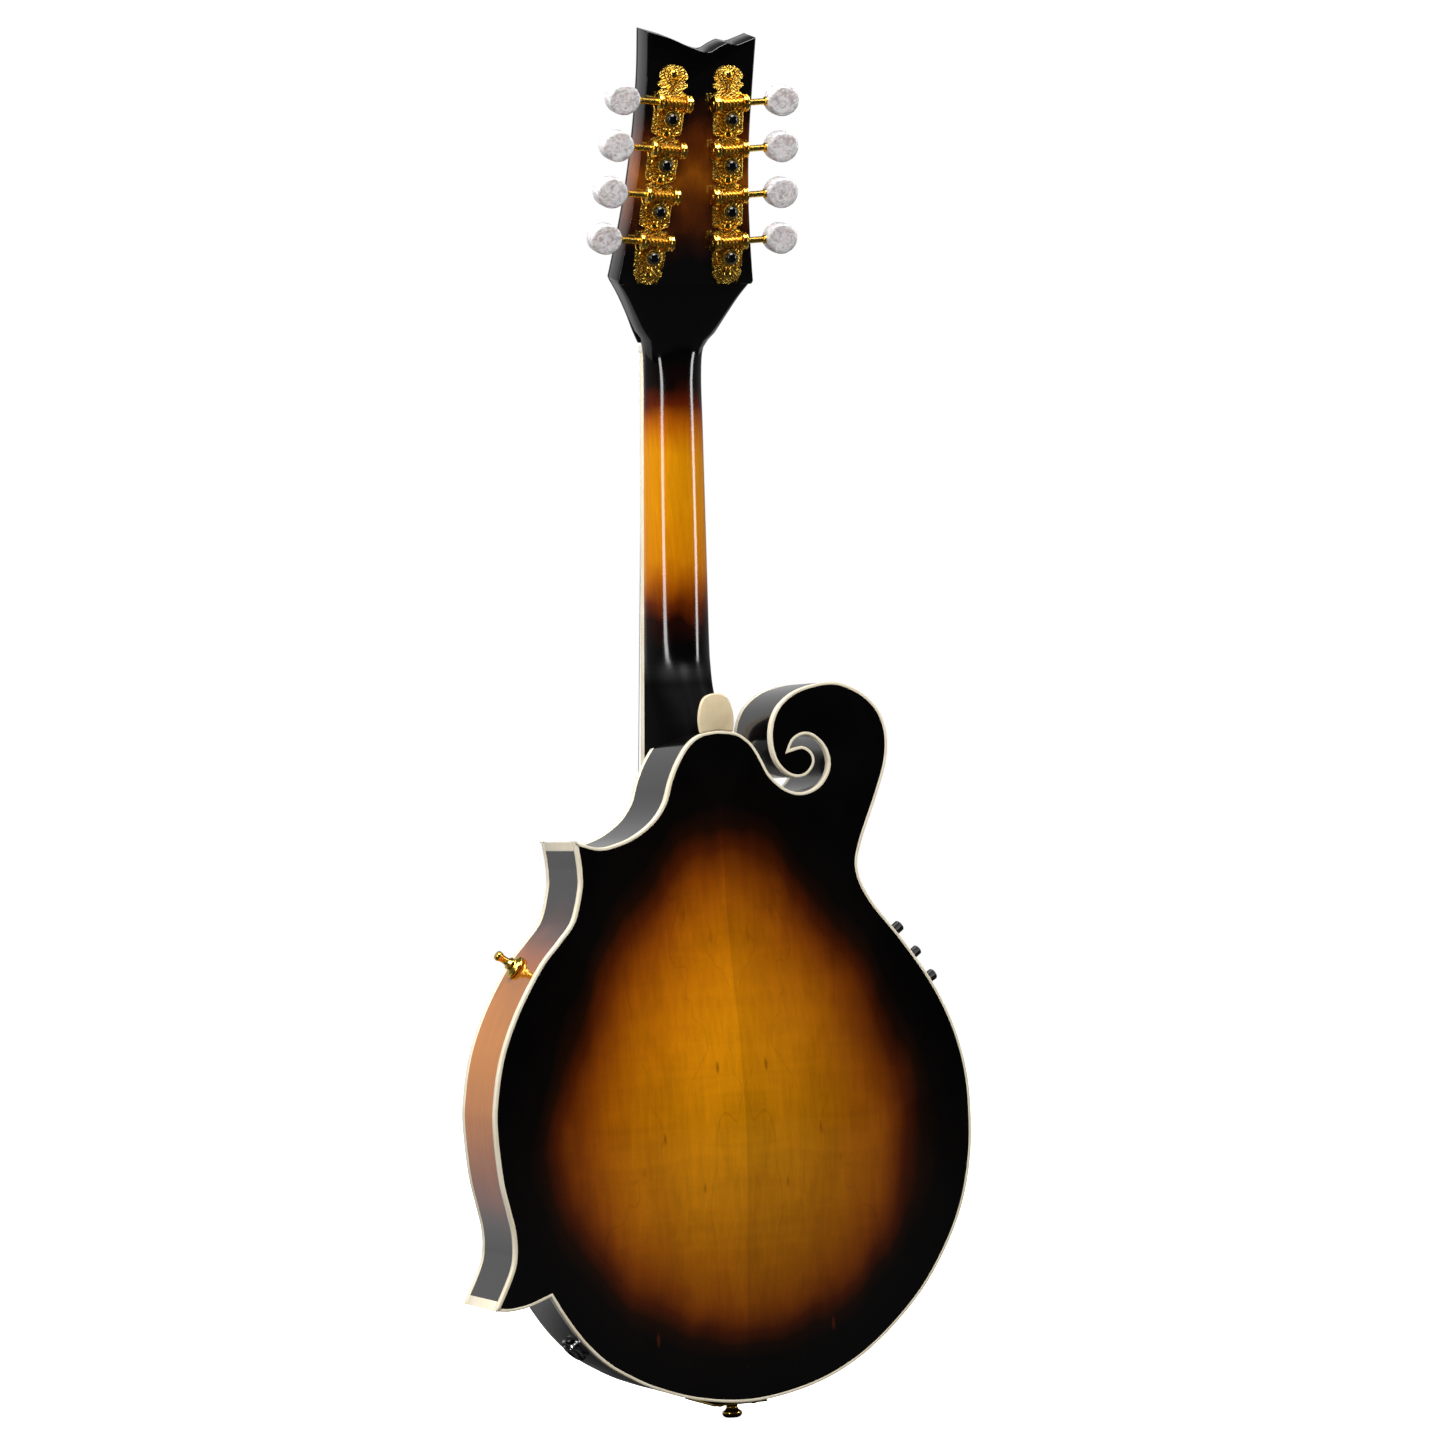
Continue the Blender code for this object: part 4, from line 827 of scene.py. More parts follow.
class MANDOLIN_PG_body(bpy.types.PropertyGroup):
    binding_width: FloatProperty(name="Binding width", description="Width of the cream edge round each plate",
                                 default=0.0015, min=0.0005, max=0.004, unit="LENGTH")
    rib_thickness: FloatProperty(name="Rib thickness", description="Thickness of the bent ribs",
                                 default=0.0022, min=0.001, max=0.004, unit="LENGTH")
    plate_grid: FloatProperty(name="Plate grid", description="Size of the squares that carry a plate's arch",
                              default=0.006, min=0.003, max=0.02, unit="LENGTH")
    burst_half_width: FloatProperty(name="Burst half width", description="Half the sunburst's width",
                                    default=0.097, min=0.02, max=0.12, unit="LENGTH")
    burst_above: FloatProperty(name="Burst above", description="Reach of the sunburst towards the neck",
                               default=0.152, min=0.05, max=0.2, unit="LENGTH")
    burst_below: FloatProperty(name="Burst below", description="Reach of the sunburst towards the tail",
                               default=0.096, min=0.02, max=0.13, unit="LENGTH")


class MANDOLIN_PG_neck(bpy.types.PropertyGroup):
    ring_points: IntProperty(name="Ring points", description="Points in each section of the neck",
                             default=33, min=9, max=65)
    ring_step: FloatProperty(name="Ring step", description="Distance between the neck's sections",
                             default=0.0035, min=0.001, max=0.02, unit="LENGTH")
    fret_width: FloatProperty(name="Fret width", description="Width of a fret's crown",
                              default=0.0013, min=0.0008, max=0.003, unit="LENGTH")
    dot_radius: FloatProperty(name="Dot radius", description="Radius of a position dot",
                              default=0.0026, min=0.001, max=0.004, unit="LENGTH")


class MANDOLIN_PG_tuners(bpy.types.PropertyGroup):
    gear_teeth: IntProperty(name="Gear teeth", description="Teeth on each post's gear",
                             default=16, min=8, max=24)
    button_width: FloatProperty(name="Button width", description="Width of a pearl button along its shaft",
                                default=0.0166, min=0.008, max=0.02, unit="LENGTH")
    button_height: FloatProperty(name="Button height", description="Height of a button across its shaft",
                                 default=0.0152, min=0.008, max=0.02, unit="LENGTH")
    worm_crest: FloatProperty(name="Worm crest", description="Radius over the worm's thread",
                              default=0.0031, min=0.0025, max=0.0036, unit="LENGTH")


class MANDOLIN_PG_fittings(bpy.types.PropertyGroup):
    wheel_knurls: IntProperty(name="Wheel knurls", description="Notches round a bridge wheel",
                              default=28, min=8, max=60)
    knob_grips: IntProperty(name="Knob grips", description="Ridges round a preamp knob",
                            default=18, min=6, max=40)
    post_windings: FloatProperty(name="Post windings", description="Turns of string on each post",
                                 default=3.5, min=1.0, max=6.0)


class MANDOLIN_PG_stage(bpy.types.PropertyGroup):
    side_light: FloatProperty(name="Side light", description="Strength of the tall lights at each side",
                              default=4.5, min=0.0, max=200.0, unit="POWER")
    top_light: FloatProperty(name="Top light", description="Strength of the broad lights overhead",
                             default=34.0, min=0.0, max=200.0, unit="POWER")
    floor_colour: FloatVectorProperty(name="Floor colour", description="Colour of the floor", subtype="COLOR",
                                      size=4, default=(0.93, 0.93, 0.93, 1.0), min=0.0, max=1.0)


# ---------------------------------------------------------------- body

def unfolded(points, reach=14):
    """A closed run of points with the small crossings left by an inset cut away."""
    start = 0
    while start < len(points):
        count = len(points)
        for gap in range(reach, 1, -1):
            ends = [points[(start + k) % count] for k in (0, 1, gap, gap + 1)]
            crossing = geometry.intersect_line_line_2d(*ends)
            if crossing:
                folded = {(start + k) % count for k in range(1, gap + 1)}
                points = [p if k != (start + 1) % count else crossing for k, p in enumerate(points)
                          if k not in folded or k == (start + 1) % count]
                break
        start += 1
    return points


def arched_plate(front):
    """A plate cut to the outline inside its binding and pressed into an arch."""
    settings = bpy.context.scene.mandolin_body
    bm = flat_face(body_outline())
    face = bm.faces[:][0]
    bmesh.ops.inset_region(bm, faces=[face], thickness=settings.binding_width / MM - 0.15,
                           use_even_offset=True, use_boundary=True)
    inside = unfolded([loop.vert.co.xz for loop in face.loops])
    bm.free()
    bm = flat_face(inside)
    step = settings.plate_grid / MM
    side_cuts = int(GRID_REACH / step)
    columns = [("X", step * k) for k in range(-side_cuts, side_cuts + 1)]
    rows = [("Z", GRID_TOP - step * k) for k in range(int(GRID_LENGTH / step))]
    for axis, place in rows + columns:
        along_x = axis == "X"
        near = [f for f in bm.faces if not along_x or f.calc_center_median().z < GRID_NECK_END]
        nearby = set(near) | {e for f in near for e in f.edges} | {v for f in near for v in f.verts}
        bmesh.ops.bisect_plane(bm, geom=list(nearby), dist=0.02,
                               plane_co=(place, 0, 0) if along_x else (0, 0, place),
                               plane_no=(1, 0, 0) if along_x else (0, 0, 1))
    thicken(bm, PLATE_THICKNESS - 0.1)
    if front:
        for side in (1, -1):
            bm = shaped_by(bm, "DIFFERENCE", slab(f_hole(side), -20.0, 20.0))
    for vert in bm.verts:
        arch = arch_height(vert.co.x, vert.co.z)
        vert.co.y += 0.1 - arch if front else RIM_DEPTH - PLATE_THICKNESS + arch
    return bm


def outline_band(near, far, width, setback=0.0):
    """A wall along the body's edge: the space between the outline and an inset of it."""
    bm = flat_face(body_outline(), near)
    face = bm.faces[:][0]
    if setback:
        bmesh.ops.inset_region(bm, faces=[face], thickness=setback, use_even_offset=True, use_boundary=True)
        bmesh.ops.delete(bm, geom=[f for f in bm.faces if f is not face], context="FACES")
        bm.normal_update()
    bmesh.ops.inset_region(bm, faces=[face], thickness=width, use_even_offset=True, use_boundary=True)
    bmesh.ops.delete(bm, geom=[face], context="FACES")
    thicken(bm, far - near)
    bmesh.ops.recalc_face_normals(bm, faces=bm.faces)
    return bm


def binding_band(near):
    """The cream edge round a plate, rounded on its outer corners."""
    settings = bpy.context.scene.mandolin_body
    return soften(outline_band(near, near + PLATE_THICKNESS, settings.binding_width / MM), 0.3, 2, 60.0)


def f_hole(side):
    """The outline of one sound hole."""
    spine = [(52, -311), (57, -318), (55, -330), (56.5, -345), (62, -360), (66, -373), (62, -384), (54, -388)]
    widths = [5.5, 2.2, 3.2, 4.6, 4.6, 3.2, 2.2, 5.5]
    line = smooth_run([(x, z, w) for (x, z), w in zip(spine, widths)], 2.0)
    line.append(Vector((*spine[-1], widths[-1])))
    left, right = [], []
    for index, point in enumerate(line):
        along = (line[min(index + 1, len(line) - 1)] - line[max(index - 1, 0)]).to_2d().normalized()
        across = Vector((along.y, -along.x)) * point.z / 2
        left.append(point.to_2d() + across)
        right.append(point.to_2d() - across)
    return [Vector((side * p.x, p.y)) for p in left + right[::-1]]


def point_cap(before, after):
    """The cream cap over one of the body's two points."""
    first = smooth_run(before, 1.0) + [Vector(before[-1])]
    second = smooth_run(after, 1.0) + [Vector(after[-1])]
    corner = first[-1]
    start = [p for p in first if (p - corner).length < POINT_CAP_LENGTH]
    end = [p for p in second[1:] if (p - corner).length < POINT_CAP_LENGTH]
    loop = start + end
    middle = sum(loop, Vector((0, 0))) / len(loop)
    loop = [middle + (p - middle) * 1.02 for p in loop]
    return slab(loop, PLATE_THICKNESS - 0.05, RIM_DEPTH - PLATE_THICKNESS + 0.05, 0.25)


class MANDOLIN_OT_body(bpy.types.Operator):
    """Build the arched plates, the ribs, their cream bindings and the point caps"""
    bl_idname = "mandolin.body"
    bl_label = "Body"

    def execute(self, context):
        settings = context.scene.mandolin_body
        piece("back", arched_plate(front=False), BODY_PLANE, "instrument", "sunburst_back",
              ["back_plate"], 50.0)
        piece("top", arched_plate(front=True), BODY_PLANE, "instrument", "sunburst_front",
              ["top_plate"], 50.0)
        for name, near in (("top_binding", 0.0), ("back_binding", RIM_DEPTH - PLATE_THICKNESS)):
            piece(name + "_edge", binding_band(near), BODY_PLANE, "instrument",
                  "cream_binding", [name])
        ribs = outline_band(PLATE_THICKNESS - 0.05, RIM_DEPTH - PLATE_THICKNESS + 0.05,
                            settings.rib_thickness / MM, 0.08)
        piece("ribs", ribs, BODY_PLANE, "instrument", "rib_lacquer", ["rib_band"], 40.0)
        for name, before, after in (("upper_point_cap", SHOULDER, TREBLE_SIDE),
                                    ("lower_point_cap", TREBLE_SIDE, POINT_UNDERSIDE)):
            piece(name + "_cream", point_cap(before, after), BODY_PLANE, "instrument", "cream_binding",
                  [name])
        heel = [(8.8, -192.5), (9.5, -186.2), (8.6, -180.2), (6.6, -175.6), (3.4, -173.5), (0, -173.1)]
        heel = heel + [(-x, z) for x, z in reversed(heel[:-1])]
        heel = smooth_run(heel, 1.2) + [Vector(heel[-1]), Vector((0, -191.3))]
        cap = slab(heel, RIM_DEPTH - 3.0, RIM_DEPTH - 0.1, 0.7, 3)
        piece("heel_cap_cream", cap, BODY_PLANE, "instrument", "heel_cream", ["heel_cap"])
        return {"FINISHED"}


# ---------------------------------------------------------------- neck

def neck_section(half_width, depth, near, square, back_half, count):
    """One D-shaped section of the neck, as (x, y) from the treble side round the back."""
    points = []
    for step in range(count):
        angle = math.pi * step / (count - 1)
        turn = math.cos(angle) if 2 * step != count - 1 else 0.0
        side = math.copysign(abs(turn) ** square, turn)
        fall = max(math.sin(angle), 0.0) ** square
        width = half_width + ((back_half or half_width) - half_width) * fall ** 2
        points.append((side * width, near + depth * fall))
    return points


def neck_skin():
    """The neck, its heel and the headstock's foot as one smooth skin, in the neck's plane."""
    settings = bpy.context.scene.mandolin_neck
    near = BOARD_THICKNESS + 0.05
    rings = []
    for z, depth, square, back_half in NECK_SHAFT:
        section = neck_section(board_half(z), depth, near, square, back_half, settings.ring_points)
        rings.append([Vector((x, y, z)) for x, y in section])
    lean = Matrix.Rotation(math.radians(-HEAD_TILT), 3, "X")
    for height, half, square in HEAD_SECTIONS:
        section = neck_section(half, HEAD_BACK - HEAD_FRONT, HEAD_FRONT, square, 0, settings.ring_points)
        rings.append([lean @ Vector((x, y, height)) for x, y in section])
    last = neck_section(34.2, HEAD_BACK - HEAD_FRONT - 0.5, HEAD_FRONT + 0.25, 0.16, 0, settings.ring_points)
    skin = smooth_rings(rings, settings.ring_step / MM)
    skin.append([lean @ Vector((x, y, 46.0)) for x, y in last])
    return lofted(skin)


def post_bores(plane):
    """The holes for the string posts, in the plane of the piece that they are cut from."""
    bores = []
    for side, _ in SIDES:
        for index in range(TUNERS_PER_SIDE):
            bore = placed(rod(POST_BORE, -30.0, 30.0, 20), towards((0, 1, 0), (0, 0, -TUNER_PITCH * index)))
            bores.append(placed(bore, plane.inverted() @ row_plane(side)))
    return join(*bores)

class MANDOLIN_OT_neck(bpy.types.Operator):
    """Build the neck with its heel and headstock, the headstock's black face and the truss rod's cover"""
    bl_idname = "mandolin.neck"
    bl_label = "Neck and headstock"

    def execute(self, context):
        lean = Matrix.Rotation(math.radians(-HEAD_TILT), 4, "X")
        head = slab(head_outline(38.0, 2.0), HEAD_FRONT, HEAD_BACK, 0.5, 3)
        wood = shaped_by(neck_skin(), "UNION", placed(head, lean))
        body_room = slab(body_outline(2.4), -0.3, 90.0)
        from_neck = NECK_PLANE.inverted() @ BODY_PLANE
        wood = shaped_by(wood, "DIFFERENCE", placed(body_room, from_neck))
        seat = block((-40, RIM_DEPTH - 3.0, -215), (40, 90, -150))
        wood = shaped_by(wood, "DIFFERENCE", placed(seat, from_neck))
        wood = shaped_by(wood, "DIFFERENCE", post_bores(NECK_PLANE))
        piece("neck_wood", wood, NECK_PLANE, "instrument", "neck_lacquer", ["neck"], 38.0)

        face = slab(head_outline(6.0, 2.0), HEAD_FRONT - FACE_THICKNESS, HEAD_FRONT - 0.02, 0.35, 3)
        face = shaped_by(face, "DIFFERENCE", post_bores(HEAD_PLANE))
        piece("headstock_face", face, HEAD_PLANE, "instrument", "black_lacquer",
              ["headstock_overlay"])
        bell = [(-6, 9), (6, 9), (7.5, 14), (6.5, 22), (3.5, 29), (0, 33), (-3.5, 29), (-6.5, 22), (-7.5, 14)]
        bell = smooth_run(bell[1:] + bell[:1], 1.5) + [Vector(bell[0])]
        cover = painted(slab(bell, 1.4, 3.0, 0.45, 3), 0)
        screws = [painted(placed(screw_head(1.5), towards((0, -1, 0), (x, 1.4, z))), 1)
                  for x, z in ((0, 29), (-4.6, 11.5), (4.6, 11.5))]
        piece("truss_cover_bell", join(cover, *screws), HEAD_PLANE, "instrument",
              ["black_plastic", "nickel_wire"], ["truss_rod_cover"])
        return {"FINISHED"}


def screw_head(radius):
    """A domed screw head on +Z with a cross slot."""
    dome = turned([(0, -0.8), (radius * 0.9, -0.8), (radius, 0.0), (radius * 0.93, radius * 0.22),
                   (radius * 0.7, radius * 0.42), (radius * 0.36, radius * 0.54), (0, radius * 0.58)], 20)
    half = radius * 0.62
    slots = join(block((-half, -0.13 * radius, radius * 0.22), (half, 0.13 * radius, radius)),
                 block((-0.13 * radius, -half, radius * 0.23), (0.13 * radius, half, radius * 1.1)))
    return shaped_by(dome, "DIFFERENCE", slots)


# A fret's crown, as (depth, share of its half width).
FRET_CROWN = [(0.2, -1), (-0.35, -1), (-0.75, -0.75), (-0.98, -0.3), (-0.98, 0.3), (-0.75, 0.75), (-0.35, 1),
              (0.2, 1)]

class MANDOLIN_OT_fingerboard(bpy.types.Operator):
    """Build the fingerboard with its binding, frets, dots and nut"""
    bl_idname = "mandolin.fingerboard"
    bl_label = "Fingerboard"

    def execute(self, context):
        settings = context.scene.mandolin_neck
        inner = BOARD_BINDING - 0.02
        top, low = board_half(0.0) - inner, board_half(BOARD_END) - inner
        end = BOARD_END + inner
        board = painted(slab([(top, 0.0), (low, end), (-low, end), (-top, 0.0)], 0.0, BOARD_THICKNESS), 0)
        dots = []
        for number in (3, 5, 7, 10, 12, 15, 17, 19):
            z = (fret_place(number) + fret_place(number - 1)) / 2
            for x in ((-6.0, 6.0) if number == 12 else (0.0,)):
                dot = rod(settings.dot_radius / MM, -0.06, 1.0, 20, 0.04)
                dots.append(painted(placed(dot, towards((0, 1, 0), (x, 0.0, z))), 1))
        piece("fingerboard_wood", join(board, *dots), NECK_PLANE, "instrument", ["rosewood", "pearl_button"],
              ["fingerboard"])
        frets = []
        half_width = settings.fret_width / MM / 2
        crown = [(y, half_width * share) for y, share in FRET_CROWN]
        for number in range(1, FRET_COUNT + 1):
            z = fret_place(number)
            reach = board_half(z) - 0.5
            fret = bar([(y, z + along) for y, along in crown], -reach, reach)
            for vert in fret.verts:
                vert.co.x *= 1.0 - 0.025 * max(0.0, -vert.co.y)
            frets.append(fret)
        piece("frets", join(*frets), NECK_PLANE, "instrument", "nickel_wire")
        outer_top, outer_low = board_half(0.0), board_half(BOARD_END)
        rim = [(outer_top, 0.0), (outer_low, BOARD_END), (-outer_low, BOARD_END), (-outer_top, 0.0),
               (-outer_top + BOARD_BINDING, 0.0), (-outer_low + BOARD_BINDING, BOARD_END + BOARD_BINDING),
               (outer_low - BOARD_BINDING, BOARD_END + BOARD_BINDING), (outer_top - BOARD_BINDING, 0.0)]
        piece("fingerboard_edge", slab(rim, 0.02, BOARD_THICKNESS + 0.05, 0.25), NECK_PLANE, "instrument",
              "cream_binding", ["fingerboard_binding"])
        nut = bar([(-1.6, 0.4), (-0.9, 4.2), (4.4, 4.2), (4.4, 0.05), (-1.2, 0.05)], -NUT_WIDTH / 2,
                  NUT_WIDTH / 2, 0.3)
        slots = []
        for x, gauge in string_nut_places():
            slot = rod(gauge / 2 + 0.06, -6.0, 12.0, 12, 0.02)
            slots.append(shifted(slot, x, -STRING_OVER_NUT - gauge / 2))
        piece("nut_slotted", shaped_by(nut, "DIFFERENCE", join(*slots)), NECK_PLANE, "instrument", "bone",
              ["nut"])
        return {"FINISHED"}


# ---------------------------------------------------------------- tuners

def tuner_plate_outline():
    """One engraved plate: fans at both ends, a broad part at each gear and a waist between them."""
    right = [(0, 26.1), (3.4, 25.6), (6.0, 23.8), (7.7, 20.9), (7.4, 19.2), (6.4, 18.7), (6.3, 17.8),
             (8.0, 16.9), (7.9, 15.2), (6.2, 14.6), (5.6, 13.2), (6.9, 12.4)]
    for index in range(TUNERS_PER_SIDE):
        base = -TUNER_PITCH * index
        right += [(7.6, base + 11.6), (7.6, base + 4.8), (8.1, base + 4.2)]
        if index < 3:
            right += [(8.1, base - 7.4), (7.2, base - 8.3), (4.8, base - 8.9), (4.2, base - 9.9),
                      (6.4, base - 10.7)]
    base = -TUNER_PITCH * 3
    right += [(8.1, base - 5.6), (6.7, base - 6.3), (6.5, base - 7.1), (7.7, base - 7.7), (7.4, base - 9.8),
              (5.6, base - 12.4), (3.0, base - 13.9), (0, base - 14.4)]
    return right + [(-x, along) for x, along in reversed(right[1:-1])]


def notched_disc(radius, corners, drawn, thickness):
    """A closed disc on +Z, each corner of whose rim is drawn in or out by a share of the radius."""
    bm = bmesh.new()
    bmesh.ops.create_circle(bm, cap_ends=True, segments=corners, radius=radius)
    for vert in bm.verts:
        angle = math.atan2(vert.co.y, vert.co.x) % (2 * math.pi)
        vert.co *= drawn(round(angle / (2 * math.pi) * corners))
    swept = bmesh.ops.extrude_face_region(bm, geom=list(bm.faces))
    bmesh.ops.translate(bm, vec=(0, 0, thickness), verts=verts_of(swept["geom"]))
    bmesh.ops.recalc_face_normals(bm, faces=bm.faces)
    return bm

def gear(teeth):
    """A gear on +Z: a round blank whose rim is drawn out into teeth, with a beaded face."""
    root, crest = 4.35, 5.1
    bm = notched_disc(root, 4 * teeth, lambda place: crest / root if place % 4 in (2, 3) else 1.0, 2.4)
    caps = [f for f in bm.faces if abs(f.normal.z) > 0.9]
    bmesh.ops.inset_region(bm, faces=caps, thickness=0.35, depth=0.15, use_even_offset=True)
    return bm

class MANDOLIN_OT_tuners(bpy.types.Operator):
    """Build the two tuner plates with their bearings and screws, the posts with their gears and the keys"""
    bl_idname = "mandolin.tuners"
    bl_label = "Tuners"

    def execute(self, context):
        settings = context.scene.mandolin_tuners
        for side, side_name in SIDES:
            row = row_plane(side)
            parts = [painted(slab(tuner_plate_outline(), HEAD_BACK + 0.02, PLATE_BACK, 0.3), 0)]
            for index in range(TUNERS_PER_SIDE):
                base = -TUNER_PITCH * index
                parts += self.bearings(side, base)
                parts += self.scrollwork(base)
            parts += self.fan(13.4, 1) + self.fan(-3 * TUNER_PITCH - 3.6, -1)
            for along in (TUNER_PITCH * -3 - 9.6, TUNER_PITCH * -2 - 8.2, -TUNER_PITCH - 8.2, -8.2, 21.4):
                screw = placed(screw_head(2.3), towards((0, 1, 0), (0, PLATE_BACK, along)))
                parts.append(painted(screw, 1))
            piece("tuner_plate_engraved_" + side_name, join(*parts), row, "instrument",
                  ["engraved_gold", "gold_plain"], ["tuner_plate_" + side_name])
            for index in range(TUNERS_PER_SIDE):
                self.post(row, side_name, index, settings)
                self.key(row, side, side_name, index, settings)
        return {"FINISHED"}

    def bearings(self, side, base):
        """The rolled bearings of one worm with their feet, its end walls and the collar under its gear."""
        made = []
        height = base + WORM_DISTANCE
        for middle, half in ((-7.9, 1.75), (7.3, 1.45)):
            seat = towards((1, 0, 0), (side * middle, GEAR_DEPTH, height))
            roll = turned([(1.9, -half), (3.7, -half), (4.3, 0.3 - half), (4.55, 0.8 - half), (4.15, -0.12),
                           (4.1, 0.12), (4.5, half - 0.8), (4.3, half - 0.3), (3.7, half), (1.9, half),
                           (1.9, -half)], 32)
            foot = block((side * middle - half, PLATE_BACK - 0.6, height - 4.1),
                         (side * middle + half, GEAR_DEPTH - 0.6, height + 4.1), 0.4)
            foot = shaped_by(foot, "DIFFERENCE", placed(rod(4.0, -9.0, 9.0, 24), seat))
            made += [painted(placed(roll, seat), 1), painted(foot, 0)]
        for end in (-5.6, 5.2):
            wall = turned([(3.4, -0.3), (4.0, -0.3), (4.0, 0.3), (3.4, 0.3), (3.4, -0.3)], 28)
            made.append(painted(placed(wall, towards((1, 0, 0), (side * end, GEAR_DEPTH, height))), 1))
        collar = turned([(0, -0.3), (6.3, -0.3), (6.3, 0.1), (5.8, 0.5), (4.0, 0.5), (0, 0.5)], 32)
        made.append(painted(placed(collar, towards((0, 1, 0), (0, PLATE_BACK, base))), 0))
        return made

    def scrollwork(self, base):
        """Raised curls and beads round one gear."""
        made = []
        curls = [[(6.7, 3.4), (7.2, 1.0), (6.9, -1.8), (7.3, -4.4), (6.6, -6.6)],
                 [(5.2, -4.6), (3.9, -6.4), (4.4, -8.0), (2.6, -9.0)],
                 [(6.2, -6.9), (4.6, -7.4), (3.2, -6.6), (1.9, -7.4)]]
        for curl in curls:
            for mirror in (1, -1):
                line = smooth_run([(mirror * x, base + z) for x, z in curl], 0.5)
                path = [(p.x, PLATE_BACK + 0.06, p.y) for p in line]
                made.append(painted(sweep(path, 0.34, 6), 1))
        for bead in range(18):
            angle = 2 * math.pi * bead / 18
            ball = bmesh.new()
            bmesh.ops.create_icosphere(ball, subdivisions=1, radius=0.62)
            ball = shifted(ball, 5.9 * math.cos(angle), PLATE_BACK + 0.35, base + 5.9 * math.sin(angle))
            made.append(painted(ball, 1))
        return made

    def fan(self, root, up):
        """Raised ribs that spread over one end of a plate."""
        made = []
        for spread in (-1.0, -0.55, 0.55, 1.0):
            line = [(2.0 * spread, 0.0), (0.8 * spread, 2.2), (3.6 * spread, 5.0), (5.6 * spread, 8.0),
                    (4.6 * spread, 10.6)]
            line = smooth_run([(x, root + up * z) for x, z in line], 0.5)
            made.append(painted(sweep([(p.x, PLATE_BACK + 0.06, p.y) for p in line], 0.36, 6), 1))
        return made

    def post(self, row, side_name, index, settings):
        """The string post with its gear and the black cap over it."""
        place = (0, 0, -TUNER_PITCH * index)
        post = turned([(0, -8.5), (2.3, -8.5), (2.9, -8.1), (3.0, -7.4), (2.7, -6.6), (2.35, -5.6),
                       (2.3, -2.2), (2.7, -1.2), (3.0, -0.6), (3.0, 20.0), (0, 20.0)], 28)
        hole = placed(rod(0.75, -6.0, 6.0, 12, 0.05), towards((1, 0, 0), (0, 0, -4.4)))
        post = painted(shaped_by(post, "DIFFERENCE", hole), 0)
        wheel = painted(shifted(gear(settings.gear_teeth), z=GEAR_DEPTH - 1.2), 0)
        ring = turned([(0, 0.0), (3.9, 0.0), (4.1, 0.3), (3.9, 0.6), (3.3, 0.7), (0, 0.7)], 28)
        ring = painted(shifted(ring, z=GEAR_DEPTH + 1.1), 0)
        dome = turned([(0, 0.0), (3.0, 0.0), (3.1, 0.5), (2.95, 1.2), (2.5, 1.9), (1.7, 2.4), (0.8, 2.62),
                       (0, 2.66)], 28)
        dome = painted(shifted(dome, z=GEAR_DEPTH + 1.5), 1)
        whole = placed(join(post, wheel, ring, dome), towards((0, 1, 0), place))
        label = side_name + "_" + str(index + 1)
        piece("post_and_gear_" + label, whole, row, "post_" + label, ["gold_worn", "black_lacquer"],
              ["tuner_post_" + label])
        bushing = turned([(3.05, 0.9), (3.05, -0.9), (3.5, -1.3), (4.9, -1.0), (5.6, -0.5), (5.7, 0.9),
                          (3.05, 0.9)], 28)
        bushing = placed(bushing, towards((0, 1, 0), (0, HEAD_FRONT - FACE_THICKNESS - 0.6, place[2])))
        piece("post_bushing_" + label, bushing, row, "instrument", "gold_plain")

    def key(self, row, side, side_name, index, settings):
        """The worm on its shaft and the pearl button at the shaft's end."""
        height = -TUNER_PITCH * index + WORM_DISTANCE
        crest = settings.worm_crest / MM
        core = turned([(0, -9.9), (1.6, -9.9), (2.0, -9.5), (2.0, -6.2), (2.3, -6.0), (2.3, 5.6), (1.7, 5.9),
                       (1.6, 9.2), (1.6, BUTTON_REACH - 9.4), (2.3, BUTTON_REACH - 8.9),
                       (2.4, BUTTON_REACH - 7.0), (0, BUTTON_REACH - 7.0)], 24)
        thread = spiral([(2.15, -0.76), (crest, -0.36), (crest, 0.36), (2.15, 0.76)], WORM_LEAD, WORM_TURNS)
        thread = shifted(thread, z=-(WORM_TURNS / 2 + 0.1) * WORM_LEAD)
        button = self.button(settings)
        whole = join(painted(core, 0), painted(thread, 0), painted(button, 1))
        outward = placed(whole, towards((side, 0, 0)))
        outward = placed(outward, Matrix.Translation((0, GEAR_DEPTH, height)))
        label = side_name + "_" + str(index + 1)
        piece("key_and_worm_" + label, outward, row, "key_" + label, ["gold_worn", "pearl_button"],
              ["tuner_key_" + label])

    def button(self, settings):
        """A round pearl button on +Z with flat faces towards the front and the back."""
        bm = bmesh.new()
        bmesh.ops.create_uvsphere(bm, u_segments=40, v_segments=24, radius=1.0)
        half_long = settings.button_width / MM / 2
        half_tall = settings.button_height / MM / 2
        for vert in bm.verts:
            tall, thick, along = vert.co
            rim = math.hypot(tall, along)
            fuller = min(1.0, rim * 1.12) / max(rim, 0.001)
            flat = math.copysign(min(abs(thick), 0.55) / 0.55, thick)
            vert.co = (tall * fuller * half_tall, flat * 3.9, along * fuller * half_long)
        bmesh.ops.smooth_vert(bm, verts=bm.verts, factor=0.5, use_axis_x=True, use_axis_y=True,
                              use_axis_z=True)
        return shifted(bm, z=BUTTON_REACH)


# ---------------------------------------------------------------- bridge and tailpiece

